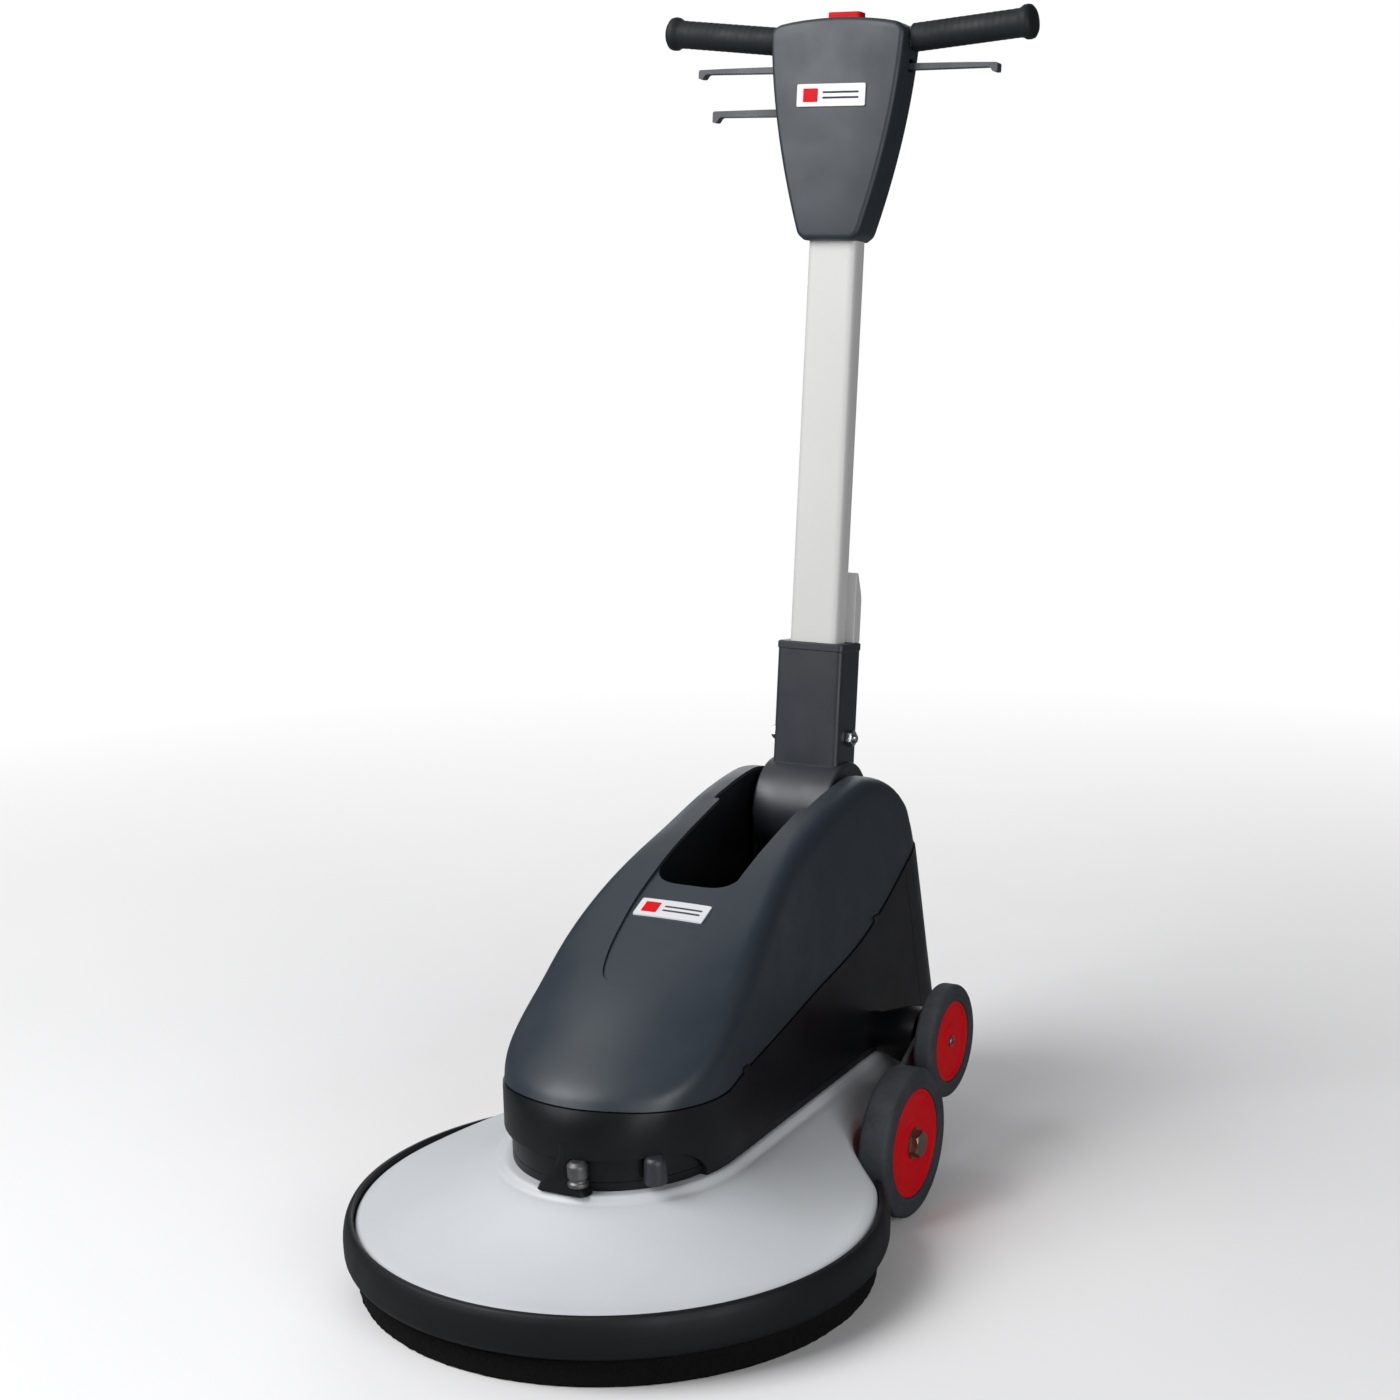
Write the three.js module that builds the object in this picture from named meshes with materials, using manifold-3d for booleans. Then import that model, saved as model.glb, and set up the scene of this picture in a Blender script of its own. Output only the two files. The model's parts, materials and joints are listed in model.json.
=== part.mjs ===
// Rotary floor machine: a walk-behind floor burnisher with a round pad deck, a plastic hood,
// two pairs of wheels and a folding handle. Millimetres, +Z up. The handle is at the rear (+Y)
// and the origin is on the floor under the middle of the whole machine.
// Shapes are drawn about the pad's own axis and moved to that origin at the end.

import * as THREE from 'three';
import { mergeVertices } from 'three/addons/utils/BufferGeometryUtils.js';
import { ParametricGeometry } from 'three/addons/geometries/ParametricGeometry.js';
import Module from 'manifold-3d';

const wasm = await Module();
wasm.setup();

// ---- driving dimensions ----
const gap = 0.3; // between pieces that touch

const bumperRadius = 280;
const deckRadius = 268.5;
const deckRimTop = 72;
const deckTop = 127;
const deckBottom = 34;
const deckWall = 5;
const tailHalfWidth = 176;
const tailRear = 480;
const tailBottom = 58;
const wheelNotchFront = 158;

const padRadius = 266.5; // a 21 inch pad
const padHeight = 30;

const floorPlateTop = 136;
const bodyWall = 4;
const bodyTop = 440;
const bodyHalfWidth = 122;
const noseDepth = 141;
const noseCentre = 30;
const bodyRear = 575;
const rearCoverFront = 505;
const crown = 220; // twice the radius of the hood's crown, seen from above
const crownFull = 300; // the hood is fully crowned below this height
const crownFlat = 390; // and flat across above this one

const pocketFront = 175;
const pocketStep = 340;
const pocketRear = 551;
const pocketFloor = 296;
const pocketHalfWidth = 50;
const pocketRearHalfWidth = 58;

const hingeY = 467;
const hingeZ = 373;
const lean = THREE.MathUtils.degToRad(8.3);
const drumRadius = 57;
const drumHalfWidth = 47;
const hingeShaftRadius = 12;

const socketHalfWidth = 41.6;
const socketFront = -23.8;
const socketRear = 30.2;
const socketTop = 192;
const tubeHalfWidth = 30;
const tubeFront = -16.8;
const tubeRear = 13.2;
const tubeBottom = 62;
const tubeTop = 760;
const tubeWall = 2.5;
const boltHeight = 84;
const boltOffset = 4.5;

const headBottom = 644;
const headTop = 882;
const headCrown = 889;
const headFront = -30.8;
const headSplit = -8;
const headRear = 17.5;
const headWall = 3;
const barRadius = 11;
const barOffset = -3;
const gripRise = THREE.MathUtils.degToRad(5.5);
const gripStart = 84;
const gripLength = 137;
const gripHeight = 867.5;
const gripRadius = 15.8;
const flangeRadius = 19;

const switchLeverHeight = 836;
const switchPivotX = 52;
const releaseLeverHeight = 788;
const releasePivotX = 34;

const mainWheel = { radius: 80.3, hubRadius: 58.7, inner: 191, outer: 225.6, y: 250.6, z: 80.3, bore: 10 };
const rearWheel = { radius: 62.7, hubRadius: 44.9, inner: 190.5, outer: 214, y: 380.2, z: 150.2, bore: 6 };
const carrierInner = 178;
const carrierOuter = 183;

const motorRadius = 88;
const motorBottom = 74;
const motorTop = 208;
const shaftRadius = 12;

// ---- materials ----
function finish(color, roughness, metalness = 0) {
  return new THREE.MeshStandardMaterial({ color, roughness, metalness });
}
const silverPaint = finish(0xd0d4da, 0.4, 0.2);
const tubePaint = finish(0xdadada, 0.4, 0.2);
const hoodPlastic = finish(0x3c434c, 0.5);
const blackPlastic = finish(0x1b1c1f, 0.6);
const bumperPlastic = finish(0x34363a, 0.6);
const blackPaint = finish(0x151617, 0.5, 0.2);
const padFibre = finish(0x0c0c0d, 0.95);
const tyreRubber = finish(0x3c4044, 0.8);
const gripRubber = finish(0x2d3237, 0.7);
const redPlastic = finish(0xa5141e, 0.4);
const leverPlastic = finish(0x4a4e54, 0.5);
const badgeWhite = finish(0xe8e8ea, 0.4);
const zincSteel = finish(0xb8babd, 0.3, 0.9);
const castIron = finish(0x55585c, 0.6, 0.6);
const castAluminium = finish(0x3a3d41, 0.5, 0.4);
const bareAluminium = finish(0x9a9da1, 0.4, 0.8);

// ---- from three.js geometry to solids and back ----
function solid(geometry) {
  const bare = geometry.clone();
  bare.deleteAttribute('normal');
  bare.deleteAttribute('uv');
  const merged = mergeVertices(bare, 1e-3);
  const index = merged.index.array;
  const triangles = [];
  for (let i = 0; i < index.length; i += 3) {
    const [a, b, c] = [index[i], index[i + 1], index[i + 2]];
    if (a !== b && b !== c && c !== a) triangles.push(a, b, c);
  }
  const vertProperties = new Float32Array(merged.attributes.position.array);
  return new wasm.Manifold(new wasm.Mesh({ numProp: 3, vertProperties, triVerts: new Uint32Array(triangles) }));
}

function geometryOf(body) {
  const mesh = body.getMesh();
  const geometry = new THREE.BufferGeometry();
  geometry.setAttribute('position', new THREE.BufferAttribute(new Float32Array(mesh.vertProperties), 3));
  geometry.setIndex(new THREE.BufferAttribute(new Uint32Array(mesh.triVerts), 1));
  geometry.computeVertexNormals();
  return geometry;
}

// A cut can leave slivers behind, so a piece keeps only its largest body.
function largest(body) {
  return body.decompose().reduce((best, part) => (part.volume() > best.volume() ? part : best));
}

function add(group, name, body, material) {
  const mesh = new THREE.Mesh(geometryOf(largest(body)), material);
  mesh.name = name;
  group.add(mesh);
}

// ---- shapes ----
const axes = {
  x: new THREE.Matrix4().makeBasis(new THREE.Vector3(0, 1, 0), new THREE.Vector3(0, 0, 1), new THREE.Vector3(1, 0, 0)),
  y: new THREE.Matrix4().makeBasis(new THREE.Vector3(0, 0, 1), new THREE.Vector3(1, 0, 0), new THREE.Vector3(0, 1, 0)),
  z: new THREE.Matrix4(),
};

function block([x0, x1], [y0, y1], [z0, z1]) {
  const geometry = new THREE.BoxGeometry(x1 - x0, y1 - y0, z1 - z0);
  geometry.translate((x0 + x1) / 2, (y0 + y1) / 2, (z0 + z1) / 2);
  return solid(geometry);
}

// A flat outline pushed along one axis. Its two coordinates are (y, z) for x and (x, y) for z.
function prism(axis, shape, from, to, curveSegments = 6) {
  const geometry = new THREE.ExtrudeGeometry(shape, { depth: to - from, bevelEnabled: false, curveSegments });
  geometry.translate(0, 0, from);
  geometry.applyMatrix4(axes[axis]);
  return solid(geometry);
}

// The same for an outline in (x, z) pushed along y.
function facing(shape, from, to, curveSegments = 6) {
  const geometry = new THREE.ExtrudeGeometry(shape, { depth: to - from, bevelEnabled: false, curveSegments });
  geometry.rotateX(Math.PI / 2);
  geometry.translate(0, to, 0);
  return solid(geometry);
}

// A profile of [radius, height] points turned about z.
function turnedGeometry(profile, segments) {
  const points = profile.map(([radius, height]) => new THREE.Vector2(radius, height));
  if (THREE.ShapeUtils.area(points) < 0) points.reverse();
  const closed = points[0].x > 0;
  if (closed) points.push(points[0].clone());
  const geometry = new THREE.LatheGeometry(points, segments);
  geometry.rotateX(Math.PI / 2);
  return geometry;
}

// The same about any axis through a centre.
function turned(profile, segments, axis = 'z', centre = [0, 0, 0]) {
  const geometry = turnedGeometry(profile, segments);
  geometry.applyMatrix4(axes[axis]);
  geometry.translate(...centre);
  return solid(geometry);
}

function rod(axis, radius, from, to, centre, segments = 16) {
  return turned([[0, from], [radius, from], [radius, to], [0, to]], segments, axis, centre);
}

function ring(axis, inner, outer, from, to, centre, segments = 24) {
  return turned([[inner, from], [outer, from], [outer, to], [inner, to]], segments, axis, centre);
}

function polygon(points) {
  return new THREE.Shape(points.map(([a, b]) => new THREE.Vector2(a, b)));
}

function roundedRectangle(halfA, halfB, radius, centreA = 0, centreB = 0) {
  const shape = new THREE.Shape();
  shape.absarc(centreA + halfA - radius, centreB + halfB - radius, radius, 0, Math.PI / 2);
  shape.absarc(centreA - halfA + radius, centreB + halfB - radius, radius, Math.PI / 2, Math.PI);
  shape.absarc(centreA - halfA + radius, centreB - halfB + radius, radius, Math.PI, Math.PI * 1.5);
  shape.absarc(centreA + halfA - radius, centreB - halfB + radius, radius, Math.PI * 1.5, Math.PI * 2);
  return shape;
}

function curveThrough(points, divisions) {
  return new THREE.SplineCurve(points.map(([a, b]) => new THREE.Vector2(a, b))).getPoints(divisions);
}

// A solid through closed rows of points, capped at the middle of its first and last row.
// Each row runs anticlockwise, seen from the last row's side.
function loft(rows) {
  const middle = (row) => {
    const sum = row.reduce((total, point) => total.add(point), new THREE.Vector3());
    return sum.divideScalar(row.length);
  };
  const first = rows[0].map(() => middle(rows[0]));
  const last = rows[0].map(() => middle(rows[rows.length - 1]));
  const all = [first, ...rows, last];
  const slices = rows[0].length;
  const stacks = all.length - 1;
  const place = (u, v, target) => {
    target.copy(all[Math.round(v * stacks)][Math.round(u * slices) % slices]);
  };
  return solid(new ParametricGeometry(place, slices, stacks));
}

// Both halves of a piece that is the same on the left and right.
function eachSide(make) {
  for (const [side, sign] of [['left', -1], ['right', 1]]) make(side, sign);
}

function span(sign, near, far) {
  return sign > 0 ? [near, far] : [-far, -near];
}

// ---- deck ----
function domeProfile(inset) {
  const slope = curveThrough([[264, deckRimTop], [225, 81], [180, 97], [128, 119]], 4);
  const rim = [[deckRadius - inset, deckBottom - inset], [deckRadius - inset, deckRimTop - 5 - inset]];
  const dome = slope.map((point) => [point.x - inset, point.y - inset]);
  const top = [[124 - inset, deckTop - inset], [0, deckTop - inset]];
  return [[0, deckBottom - inset], ...rim, ...dome, ...top];
}

function tail(inset) {
  const half = tailHalfWidth - inset;
  const low = tailBottom - 2 * inset;
  const right = [[half, low], [half, 90 - inset], [half - 4, 96 - inset], [120 - inset / 2, deckTop - inset]];
  const left = right.map(([x, z]) => [-x, z]).reverse();
  const section = facing(polygon([...right, ...left]), 0, tailRear - inset);
  const plan = roundedRectangle(half, (tailRear - inset) / 2 + 60, 45, 0, (tailRear - inset) / 2 - 60);
  return section.intersect(prism('z', plan, 0, 200, 4));
}

function deckBlank(inset) {
  let body = turned(domeProfile(inset), 44).add(tail(inset));
  eachSide((side, sign) => {
    const notch = block(span(sign, tailHalfWidth - inset, 400), [wheelNotchFront - inset, 400], [-50, 300]);
    body = body.subtract(notch);
  });
  return body;
}

function deckHousing() {
  const shell = deckBlank(0).subtract(deckBlank(deckWall));
  const motorHole = rod('z', motorRadius + 4, 90, 150, [0, 0, 0], 36);
  const axleHole = rod('x', mainWheel.bore + 1, -200, 200, [0, mainWheel.y, mainWheel.z]);
  const padSweep = rod('z', 260, 0, tailBottom, [0, 0, 0], 48);
  return shell.subtract(motorHole).subtract(axleHole).subtract(padSweep);
}

function bumper() {
  const inner = deckRadius + gap;
  const profile = [
    [inner, deckBottom - gap], [258, deckBottom - gap], [258, 31.5], [274, 31.5],
    [278.5, 36], [bumperRadius, 48], [bumperRadius, 60], [277, 72], [274, 76], [inner, 76],
  ];
  const behindWheels = block([-400, 400], [wheelNotchFront - 4, 400], [-50, 300]);
  return turned(profile, 44).subtract(behindWheels);
}

// ---- pad drive: everything that spins on the motor shaft ----
function padDrive(group) {
  const driverTop = 42;
  const hubTop = 58;
  add(group, 'pad', ring('z', 43, padRadius, 0, padHeight, [0, 0, 0], 48), padFibre);
  add(group, 'pad_driver', ring('z', 30, 255, padHeight + gap, driverTop, [0, 0, 0], 40), blackPlastic);
  const hub = [[shaftRadius + gap, 44.5], [30, 44.5], [30, driverTop + gap], [62, driverTop + gap],
    [62, 50], [30, hubTop], [shaftRadius + gap, hubTop]];
  add(group, 'drive_hub', turned(hub, 20), castAluminium);
  const lock = [[0, 6], [36, 6], [40, 12], [40, padHeight], [29, padHeight], [29, 44.2], [0, 44.2]];
  add(group, 'pad_lock', turned(lock, 20), redPlastic);
  const shaft = [[0, 44.5], [shaftRadius, 44.5], [shaftRadius, 205], [8, 205], [8, 232], [0, 232]];
  add(group, 'rotor_shaft', turned(shaft, 16), zincSteel);
  add(group, 'rotor_core', ring('z', shaftRadius + gap, 48, 98, 178, [0, 0, 0], 20), castIron);
  let fan = ring('z', 8 + gap, 22, 212, 226, [0, 0, 0], 16);
  const blades = 7;
  for (let i = 0; i < blades; i += 1) {
    const blade = new THREE.BoxGeometry(32, 2.5, 14);
    blade.translate(36, 0, 219);
    blade.rotateZ((i * 2 * Math.PI) / blades);
    fan = fan.add(solid(blade));
  }
  add(group, 'cooling_fan', fan, blackPlastic);
}

// ---- motor ----
function motor(group) {
  const flangeBottom = floorPlateTop + gap;
  const pot = [[20.3, motorBottom], [motorRadius, motorBottom], [motorRadius, flangeBottom], [102, flangeBottom],
    [102, flangeBottom + 8], [motorRadius, flangeBottom + 8], [motorRadius, 190], [motorRadius - 4, 190],
    [motorRadius - 4, 80], [36, 80], [36, 90], [20.3, 90]];
  add(group, 'motor_housing', turned(pot, 24), castIron);
  add(group, 'stator_core', ring('z', 49.5, motorRadius - 5, 96, 180, [0, 0, 0], 20), zincSteel);
  const bell = [[20.3, 184], [34, 184], [34, 196], [60, 190 + gap], [motorRadius, 190 + gap],
    [motorRadius, 200], [60, motorTop - 2], [20.3, motorTop - 2]];
  add(group, 'motor_end_bell', turned(bell, 20), castIron);
  const cover = [[64, motorTop - 1], [66, motorTop - 1], [66, 224], [52, 240], [30, 240], [30, 238],
    [51, 238], [64, 223]];
  add(group, 'fan_cover', turned(cover, 20), blackPlastic);
  add(group, 'lower_bearing', ring('z', shaftRadius + gap, 20, 78, 89, [0, 0, 0], 18), zincSteel);
  add(group, 'upper_bearing', ring('z', shaftRadius + gap, 20, 190, 201, [0, 0, 0], 18), zincSteel);
  add(group, 'run_capacitor', rod('z', 24, floorPlateTop + gap, 236, [-75, 190, 0], 18), bareAluminium);
}

// ---- body shells ----
// Half the body's outline seen from above, from the nose to the middle of the back.
// narrowing is 0 at the bottom of the body and 1 at bodyTop.
function halfOutline(inset, narrowing) {
  const points = [];
  const noseSteps = 9;
  for (let i = 0; i <= noseSteps; i += 1) {
    const angle = (i / noseSteps) * (Math.PI / 2);
    const x = (bodyHalfWidth - inset) * Math.sin(angle);
    points.push([x, noseCentre - (noseDepth - inset) * Math.cos(angle)]);
  }
  const sides = [[139, 14], [240, 32], [340, 35], [454, 37]];
  for (const [y, taper] of sides) points.push([bodyHalfWidth - inset - taper * narrowing, y]);
  const corner = 46;
  const cornerX = bodyHalfWidth - 37 * narrowing - corner;
  const cornerSteps = 4;
  for (let i = 0; i <= cornerSteps; i += 1) {
    const angle = (i / cornerSteps) * (Math.PI / 2);
    const reach = corner - inset;
    points.push([cornerX + reach * Math.cos(angle), bodyRear - corner + reach * Math.sin(angle)]);
  }
  return points;
}

function outline(inset, narrowing, z) {
  const right = halfOutline(inset, narrowing);
  const left = right.slice(1).reverse().map(([x, y]) => [-x, y]);
  return [...right, ...left].map(([x, y]) => new THREE.Vector3(x, y, z));
}

// The space under the hood's top: a side profile that moves back away from the middle line at the nose,
// where the hood is crowned, and less so higher up, where it is flat across.
function underTop(inset) {
  const top = curveThrough([[-100, 208], [-86, 228], [-45, 257], [24, 301], [111, 341], [221, 382],
    [331, 410], [383, 419], [430, 423], [456, 421]], 16);
  const rows = [];
  const columns = 10;
  for (let i = 0; i <= columns; i += 1) {
    const x = -125 + (i * 250) / columns;
    const shift = (x * x) / crown;
    const row = [[-113 + shift + inset, 60], [-110 + shift + inset, 180]];
    for (const point of top) {
      const crowned = shift * (1 - THREE.MathUtils.smoothstep(point.y, crownFull, crownFlat));
      row.push([point.x + crowned + inset * 0.5, point.y - inset]);
    }
    row.push([485 - inset, 413 - inset], [507 - inset, 402 - inset], [526 - inset, 386 - inset]);
    row.push([541 - inset, 366], [550 - inset, 344], [558 - inset, 312], [573 - inset, 236]);
    row.push([bodyRear - inset, 60]);
    rows.push(row.reverse().map(([y, z]) => new THREE.Vector3(x, y, z)));
  }
  return loft(rows);
}

function bodyBlank(inset) {
  const low = inset > 0 ? 60 : floorPlateTop + gap;
  const narrowLow = (low - deckTop) / (bodyTop - deckTop);
  const walls = loft([outline(inset, narrowLow, low), outline(inset, 1, bodyTop)]);
  return walls.intersect(underTop(inset));
}

// The line along the side where the hood meets the lower body.
const seam = curveThrough([[-160, 205], [16, 203], [74, 214], [229, 232], [351, 250], [431, 273],
  [515, 308], [620, 352]], 14);

function aboveSeam(lift) {
  const line = seam.map((point) => [point.x, point.y + lift]);
  return prism('x', polygon([...line, [620, 500], [-160, 500]]), -200, 200);
}

// Outline of the pocket that the folded handle lies in, seen from above.
function pocketPlan(wall, rear) {
  const radius = 18 + wall;
  const half = pocketHalfWidth + wall;
  const rearHalf = pocketRearHalfWidth + wall;
  const front = pocketFront - wall;
  const shape = new THREE.Shape();
  shape.moveTo(rearHalf, rear);
  shape.lineTo(-rearHalf, rear);
  shape.lineTo(-rearHalf, pocketStep - wall);
  shape.lineTo(-half, pocketStep - wall);
  shape.absarc(-half + radius, front + radius, radius, Math.PI, Math.PI * 1.5);
  shape.absarc(half - radius, front + radius, radius, Math.PI * 1.5, Math.PI * 2);
  shape.lineTo(half, pocketStep - wall);
  shape.lineTo(rearHalf, pocketStep - wall);
  return shape;
}

function bodyShells(group) {
  const outside = bodyBlank(0);
  const shell = outside.subtract(bodyBlank(bodyWall));
  const pocket = prism('z', pocketPlan(0, 700), pocketFloor, 500, 4);
  const liner = prism('z', pocketPlan(bodyWall, pocketRear), pocketFloor - bodyWall, 500, 4).intersect(outside);
  let hood = shell.intersect(aboveSeam(gap / 2)).add(liner).subtract(pocket);
  eachSide((side, sign) => {
    hood = hood.subtract(block(span(sign, 48.5, 56.5), [424, 510], [250, pocketFloor + 1]));
  });
  add(group, 'hood', hood, hoodPlastic);

  const rearAxleHole = rod('x', rearWheel.bore + 1, -200, 200, [0, rearWheel.y, rearWheel.z]);
  const ventRecess = block([-102, 102], [-200, -20], [100, 170]);
  const behind = block([-200, 200], [rearCoverFront, 700], [0, 500]);
  const below = shell.subtract(aboveSeam(-gap / 2)).subtract(pocket);
  const lowerBody = below.subtract(behind).subtract(ventRecess).subtract(rearAxleHole);
  add(group, 'lower_body', lowerBody, blackPlastic);
  const linerEnd = block([-70, 70], [400, pocketRear + gap], [pocketFloor - bodyWall - gap, 500]);
  const ahead = block([-200, 200], [-200, rearCoverFront + gap], [0, 500]);
  add(group, 'rear_cover', below.subtract(ahead).subtract(linerEnd), blackPlastic);

  const badge = underTop(-gap - 1.5).subtract(underTop(-gap));
  add(group, 'hood_badge', badge.intersect(block([-41, 41], [121, 146], [300, 400])), badgeWhite);
}

function floorPlate() {
  const plan = new THREE.Shape(outline(0, 0, 0).map((point) => new THREE.Vector2(point.x, point.y)));
  const plate = prism('z', plan, deckTop + gap, floorPlateTop);
  return plate.subtract(rod('z', motorRadius + 1, 100, 150, [0, 0, 0], 36));
}

// ---- handle hinge, the fixed half ----
function hingeMount(group) {
  eachSide((side, sign) => {
    const shape = new THREE.Shape();
    shape.moveTo(430, floorPlateTop + gap);
    shape.lineTo(504, floorPlateTop + gap);
    shape.lineTo(504, hingeZ);
    shape.absarc(hingeY, hingeZ, 37, 0, Math.PI);
    const [near, far] = span(sign, 49.5, 55.5);
    const bore = rod('x', hingeShaftRadius + gap, -80, 80, [0, hingeY, hingeZ]);
    add(group, `hinge_bracket_${side}`, prism('x', shape, near, far, 10).subtract(bore), blackPaint);
  });
  add(group, 'hinge_shaft', rod('x', hingeShaftRadius, -57, 57, [0, hingeY, hingeZ]), zincSteel);
  const disc = ring('x', hingeShaftRadius + gap, 33, -6, 6, [0, hingeY, hingeZ], 20);
  add(group, 'brake_disc', disc, zincSteel);
}

// ---- wheels ----
function wheel(group, name, spec, side, sign) {
  const { radius, hubRadius, inner, outer, y, z, bore } = spec;
  const mirrored = (profile) => profile.map(([r, x]) => [r, sign * x]);
  const tyre = [[hubRadius, inner + 2], [radius - 4, inner], [radius, inner + 5], [radius, outer - 5],
    [radius - 4, outer], [hubRadius, outer - 1]];
  add(group, `${name}_tyre_${side}`, turned(mirrored(tyre), 24, 'x', [0, y, z]), tyreRubber);
  const hub = [[bore + gap, carrierOuter + gap], [bore + 7, carrierOuter + gap], [bore + 7, inner + 4],
    [hubRadius - gap, inner + 4], [hubRadius - gap, outer - 2], [hubRadius - 8, outer - 4],
    [bore + gap, outer - 4]];
  add(group, `${name}_hub_${side}`, turned(mirrored(hub), 24, 'x', [0, y, z]), redPlastic);
}

function wheelGear(group) {
  const mainReach = mainWheel.outer - 4;
  const mainCentre = [0, mainWheel.y, mainWheel.z];
  add(group, 'main_axle', rod('x', mainWheel.bore, -mainReach, mainReach, mainCentre), zincSteel);
  const rearReach = rearWheel.outer - 2;
  const rearCentre = [0, rearWheel.y, rearWheel.z];
  add(group, 'rear_axle', rod('x', rearWheel.bore, -rearReach, rearReach, rearCentre, 14), zincSteel);
  eachSide((side, sign) => {
    const [near, far] = span(sign, carrierInner, carrierOuter);
    const tilt = Math.atan2(rearWheel.z - mainWheel.z, rearWheel.y - mainWheel.y);
    const link = new THREE.Shape();
    link.absarc(mainWheel.y, mainWheel.z, 26, tilt + Math.PI / 2, tilt + Math.PI * 1.5);
    link.absarc(rearWheel.y, rearWheel.z, 20, tilt - Math.PI / 2, tilt + Math.PI / 2);
    const plate = prism('x', link, near, far, 8)
      .subtract(rod('x', mainWheel.bore + gap, -200, 200, mainCentre))
      .subtract(rod('x', rearWheel.bore + gap, -200, 200, rearCentre, 14));
    add(group, `wheel_carrier_${side}`, plate, blackPaint);
    const start = mainWheel.outer - 4 + gap;
    const cap = [[0, start], [15, start], [15, start + 7], [11, start + 10], [0, start + 10]];
    const capProfile = cap.map(([r, x]) => [r, sign * x]);
    add(group, `axle_cap_${side}`, turned(capProfile, 18, 'x', mainCentre), bareAluminium);
    wheel(group, 'main', mainWheel, side, sign);
    wheel(group, 'rear', rearWheel, side, sign);
  });
}

// ---- handle: drawn upright about the hinge, with y across its thickness ----
function handleYoke() {
  const drum = rod('x', drumRadius, -drumHalfWidth, drumHalfWidth, [0, 0, 0], 32);
  const middle = (socketFront + socketRear) / 2;
  const halfDepth = (socketRear - socketFront) / 2;
  const socket = prism('z', roundedRectangle(socketHalfWidth, halfDepth, 6, 0, middle), 10, socketTop, 3);
  const tubeHole = block([-tubeHalfWidth - gap, tubeHalfWidth + gap], [tubeFront - gap, tubeRear + gap],
    [tubeBottom - gap, 300]);
  const shoeHole = block([-6.5, 6.5], [-8.5, 6.5], [28, tubeBottom + 1]);
  return drum.add(socket).subtract(tubeHole).subtract(shoeHole)
    .subtract(rod('x', hingeShaftRadius + gap, -80, 80, [0, 0, 0]))
    .subtract(rod('x', 36, -7, 7, [0, 0, 0], 20))
    .subtract(rod('x', 4.5 + gap, -60, 60, [0, boltOffset, boltHeight], 12));
}

function handleTube() {
  const middle = (tubeFront + tubeRear) / 2;
  const halfDepth = (tubeRear - tubeFront) / 2;
  const outside = prism('z', roundedRectangle(tubeHalfWidth, halfDepth, 7, 0, middle), tubeBottom, tubeTop, 4);
  const inside = roundedRectangle(tubeHalfWidth - tubeWall, halfDepth - tubeWall, 5, 0, middle);
  const boltHole = rod('x', 4.5 + gap, -60, 60, [0, boltOffset, boltHeight], 12);
  return outside.subtract(prism('z', inside, tubeBottom - 1, tubeTop + 1, 4)).subtract(boltHole);
}

function latchHousing() {
  const start = socketTop + gap;
  const back = tubeRear + gap;
  const side = polygon([[back, start], [30, start], [30, start + 52], [18, start + 80], [back, start + 80]]);
  return prism('x', side, -38, 38);
}

// The brake shoe, its rod up the tube and the stirrup round the release lever are one piece.
function releaseRod() {
  const shoe = block([-6, 6], [-7.5, 6], [33.6, 58]);
  const stem = rod('z', 3, 57, 776, [0, -4, 0], 10);
  const stirrup = block([-6, 6], [-9, 9], [772, 802]);
  const window = block([-10, 10], [-5.6, 5.6], [780.5, 795.5]);
  return shoe.add(stem).add(stirrup.subtract(window));
}

function boltAndNut(group) {
  const outside = socketHalfWidth + gap;
  const centre = [0, boltOffset, boltHeight];
  const head = rod('x', 9, -outside - 11, -outside, centre, 6);
  const stem = rod('x', 4.5, -outside - 1, outside + 10, centre, 12);
  add(group, 'tube_bolt', head.add(stem), zincSteel);
  add(group, 'tube_bolt_nut', ring('x', 5.8, 9.5, outside, outside + 7, centre, 6), zincSteel);
}

// ---- control head ----
function headOutline(inset) {
  const side = new THREE.CubicBezierCurve(
    new THREE.Vector2(38 - inset, headBottom + 6),
    new THREE.Vector2(58 - inset, headBottom + 66),
    new THREE.Vector2(78 - inset, headTop - 92),
    new THREE.Vector2(82 - inset, headTop - 8),
  ).getPoints(7).map((point) => [point.x, point.y]);
  const right = [[30, headBottom + inset], ...side, [74, headTop - inset], [40, headCrown - 2 - inset]];
  const left = right.map(([x, z]) => [-x, z]).reverse();
  return polygon([...right, [0, headCrown - inset], ...left]);
}

function barPath() {
  const rise = Math.tan(gripRise);
  const end = gripStart + gripLength - 5;
  const place = (x, z) => new THREE.Vector3(x, barOffset, z);
  const low = gripHeight - gripStart * rise;
  const path = new THREE.CurvePath();
  path.add(new THREE.LineCurve3(place(-end, low + end * rise), place(-40, low + 40 * rise)));
  path.add(new THREE.QuadraticBezierCurve3(place(-40, low + 40 * rise), place(0, low), place(40, low + 40 * rise)));
  path.add(new THREE.LineCurve3(place(40, low + 40 * rise), place(end, low + end * rise)));
  return path;
}

function barOfRadius(radius) {
  const circle = new THREE.Shape();
  circle.absarc(0, 0, radius, 0, Math.PI * 2);
  const geometry = new THREE.ExtrudeGeometry(circle, { steps: 14, extrudePath: barPath(), curveSegments: 5 });
  return solid(geometry);
}

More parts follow.
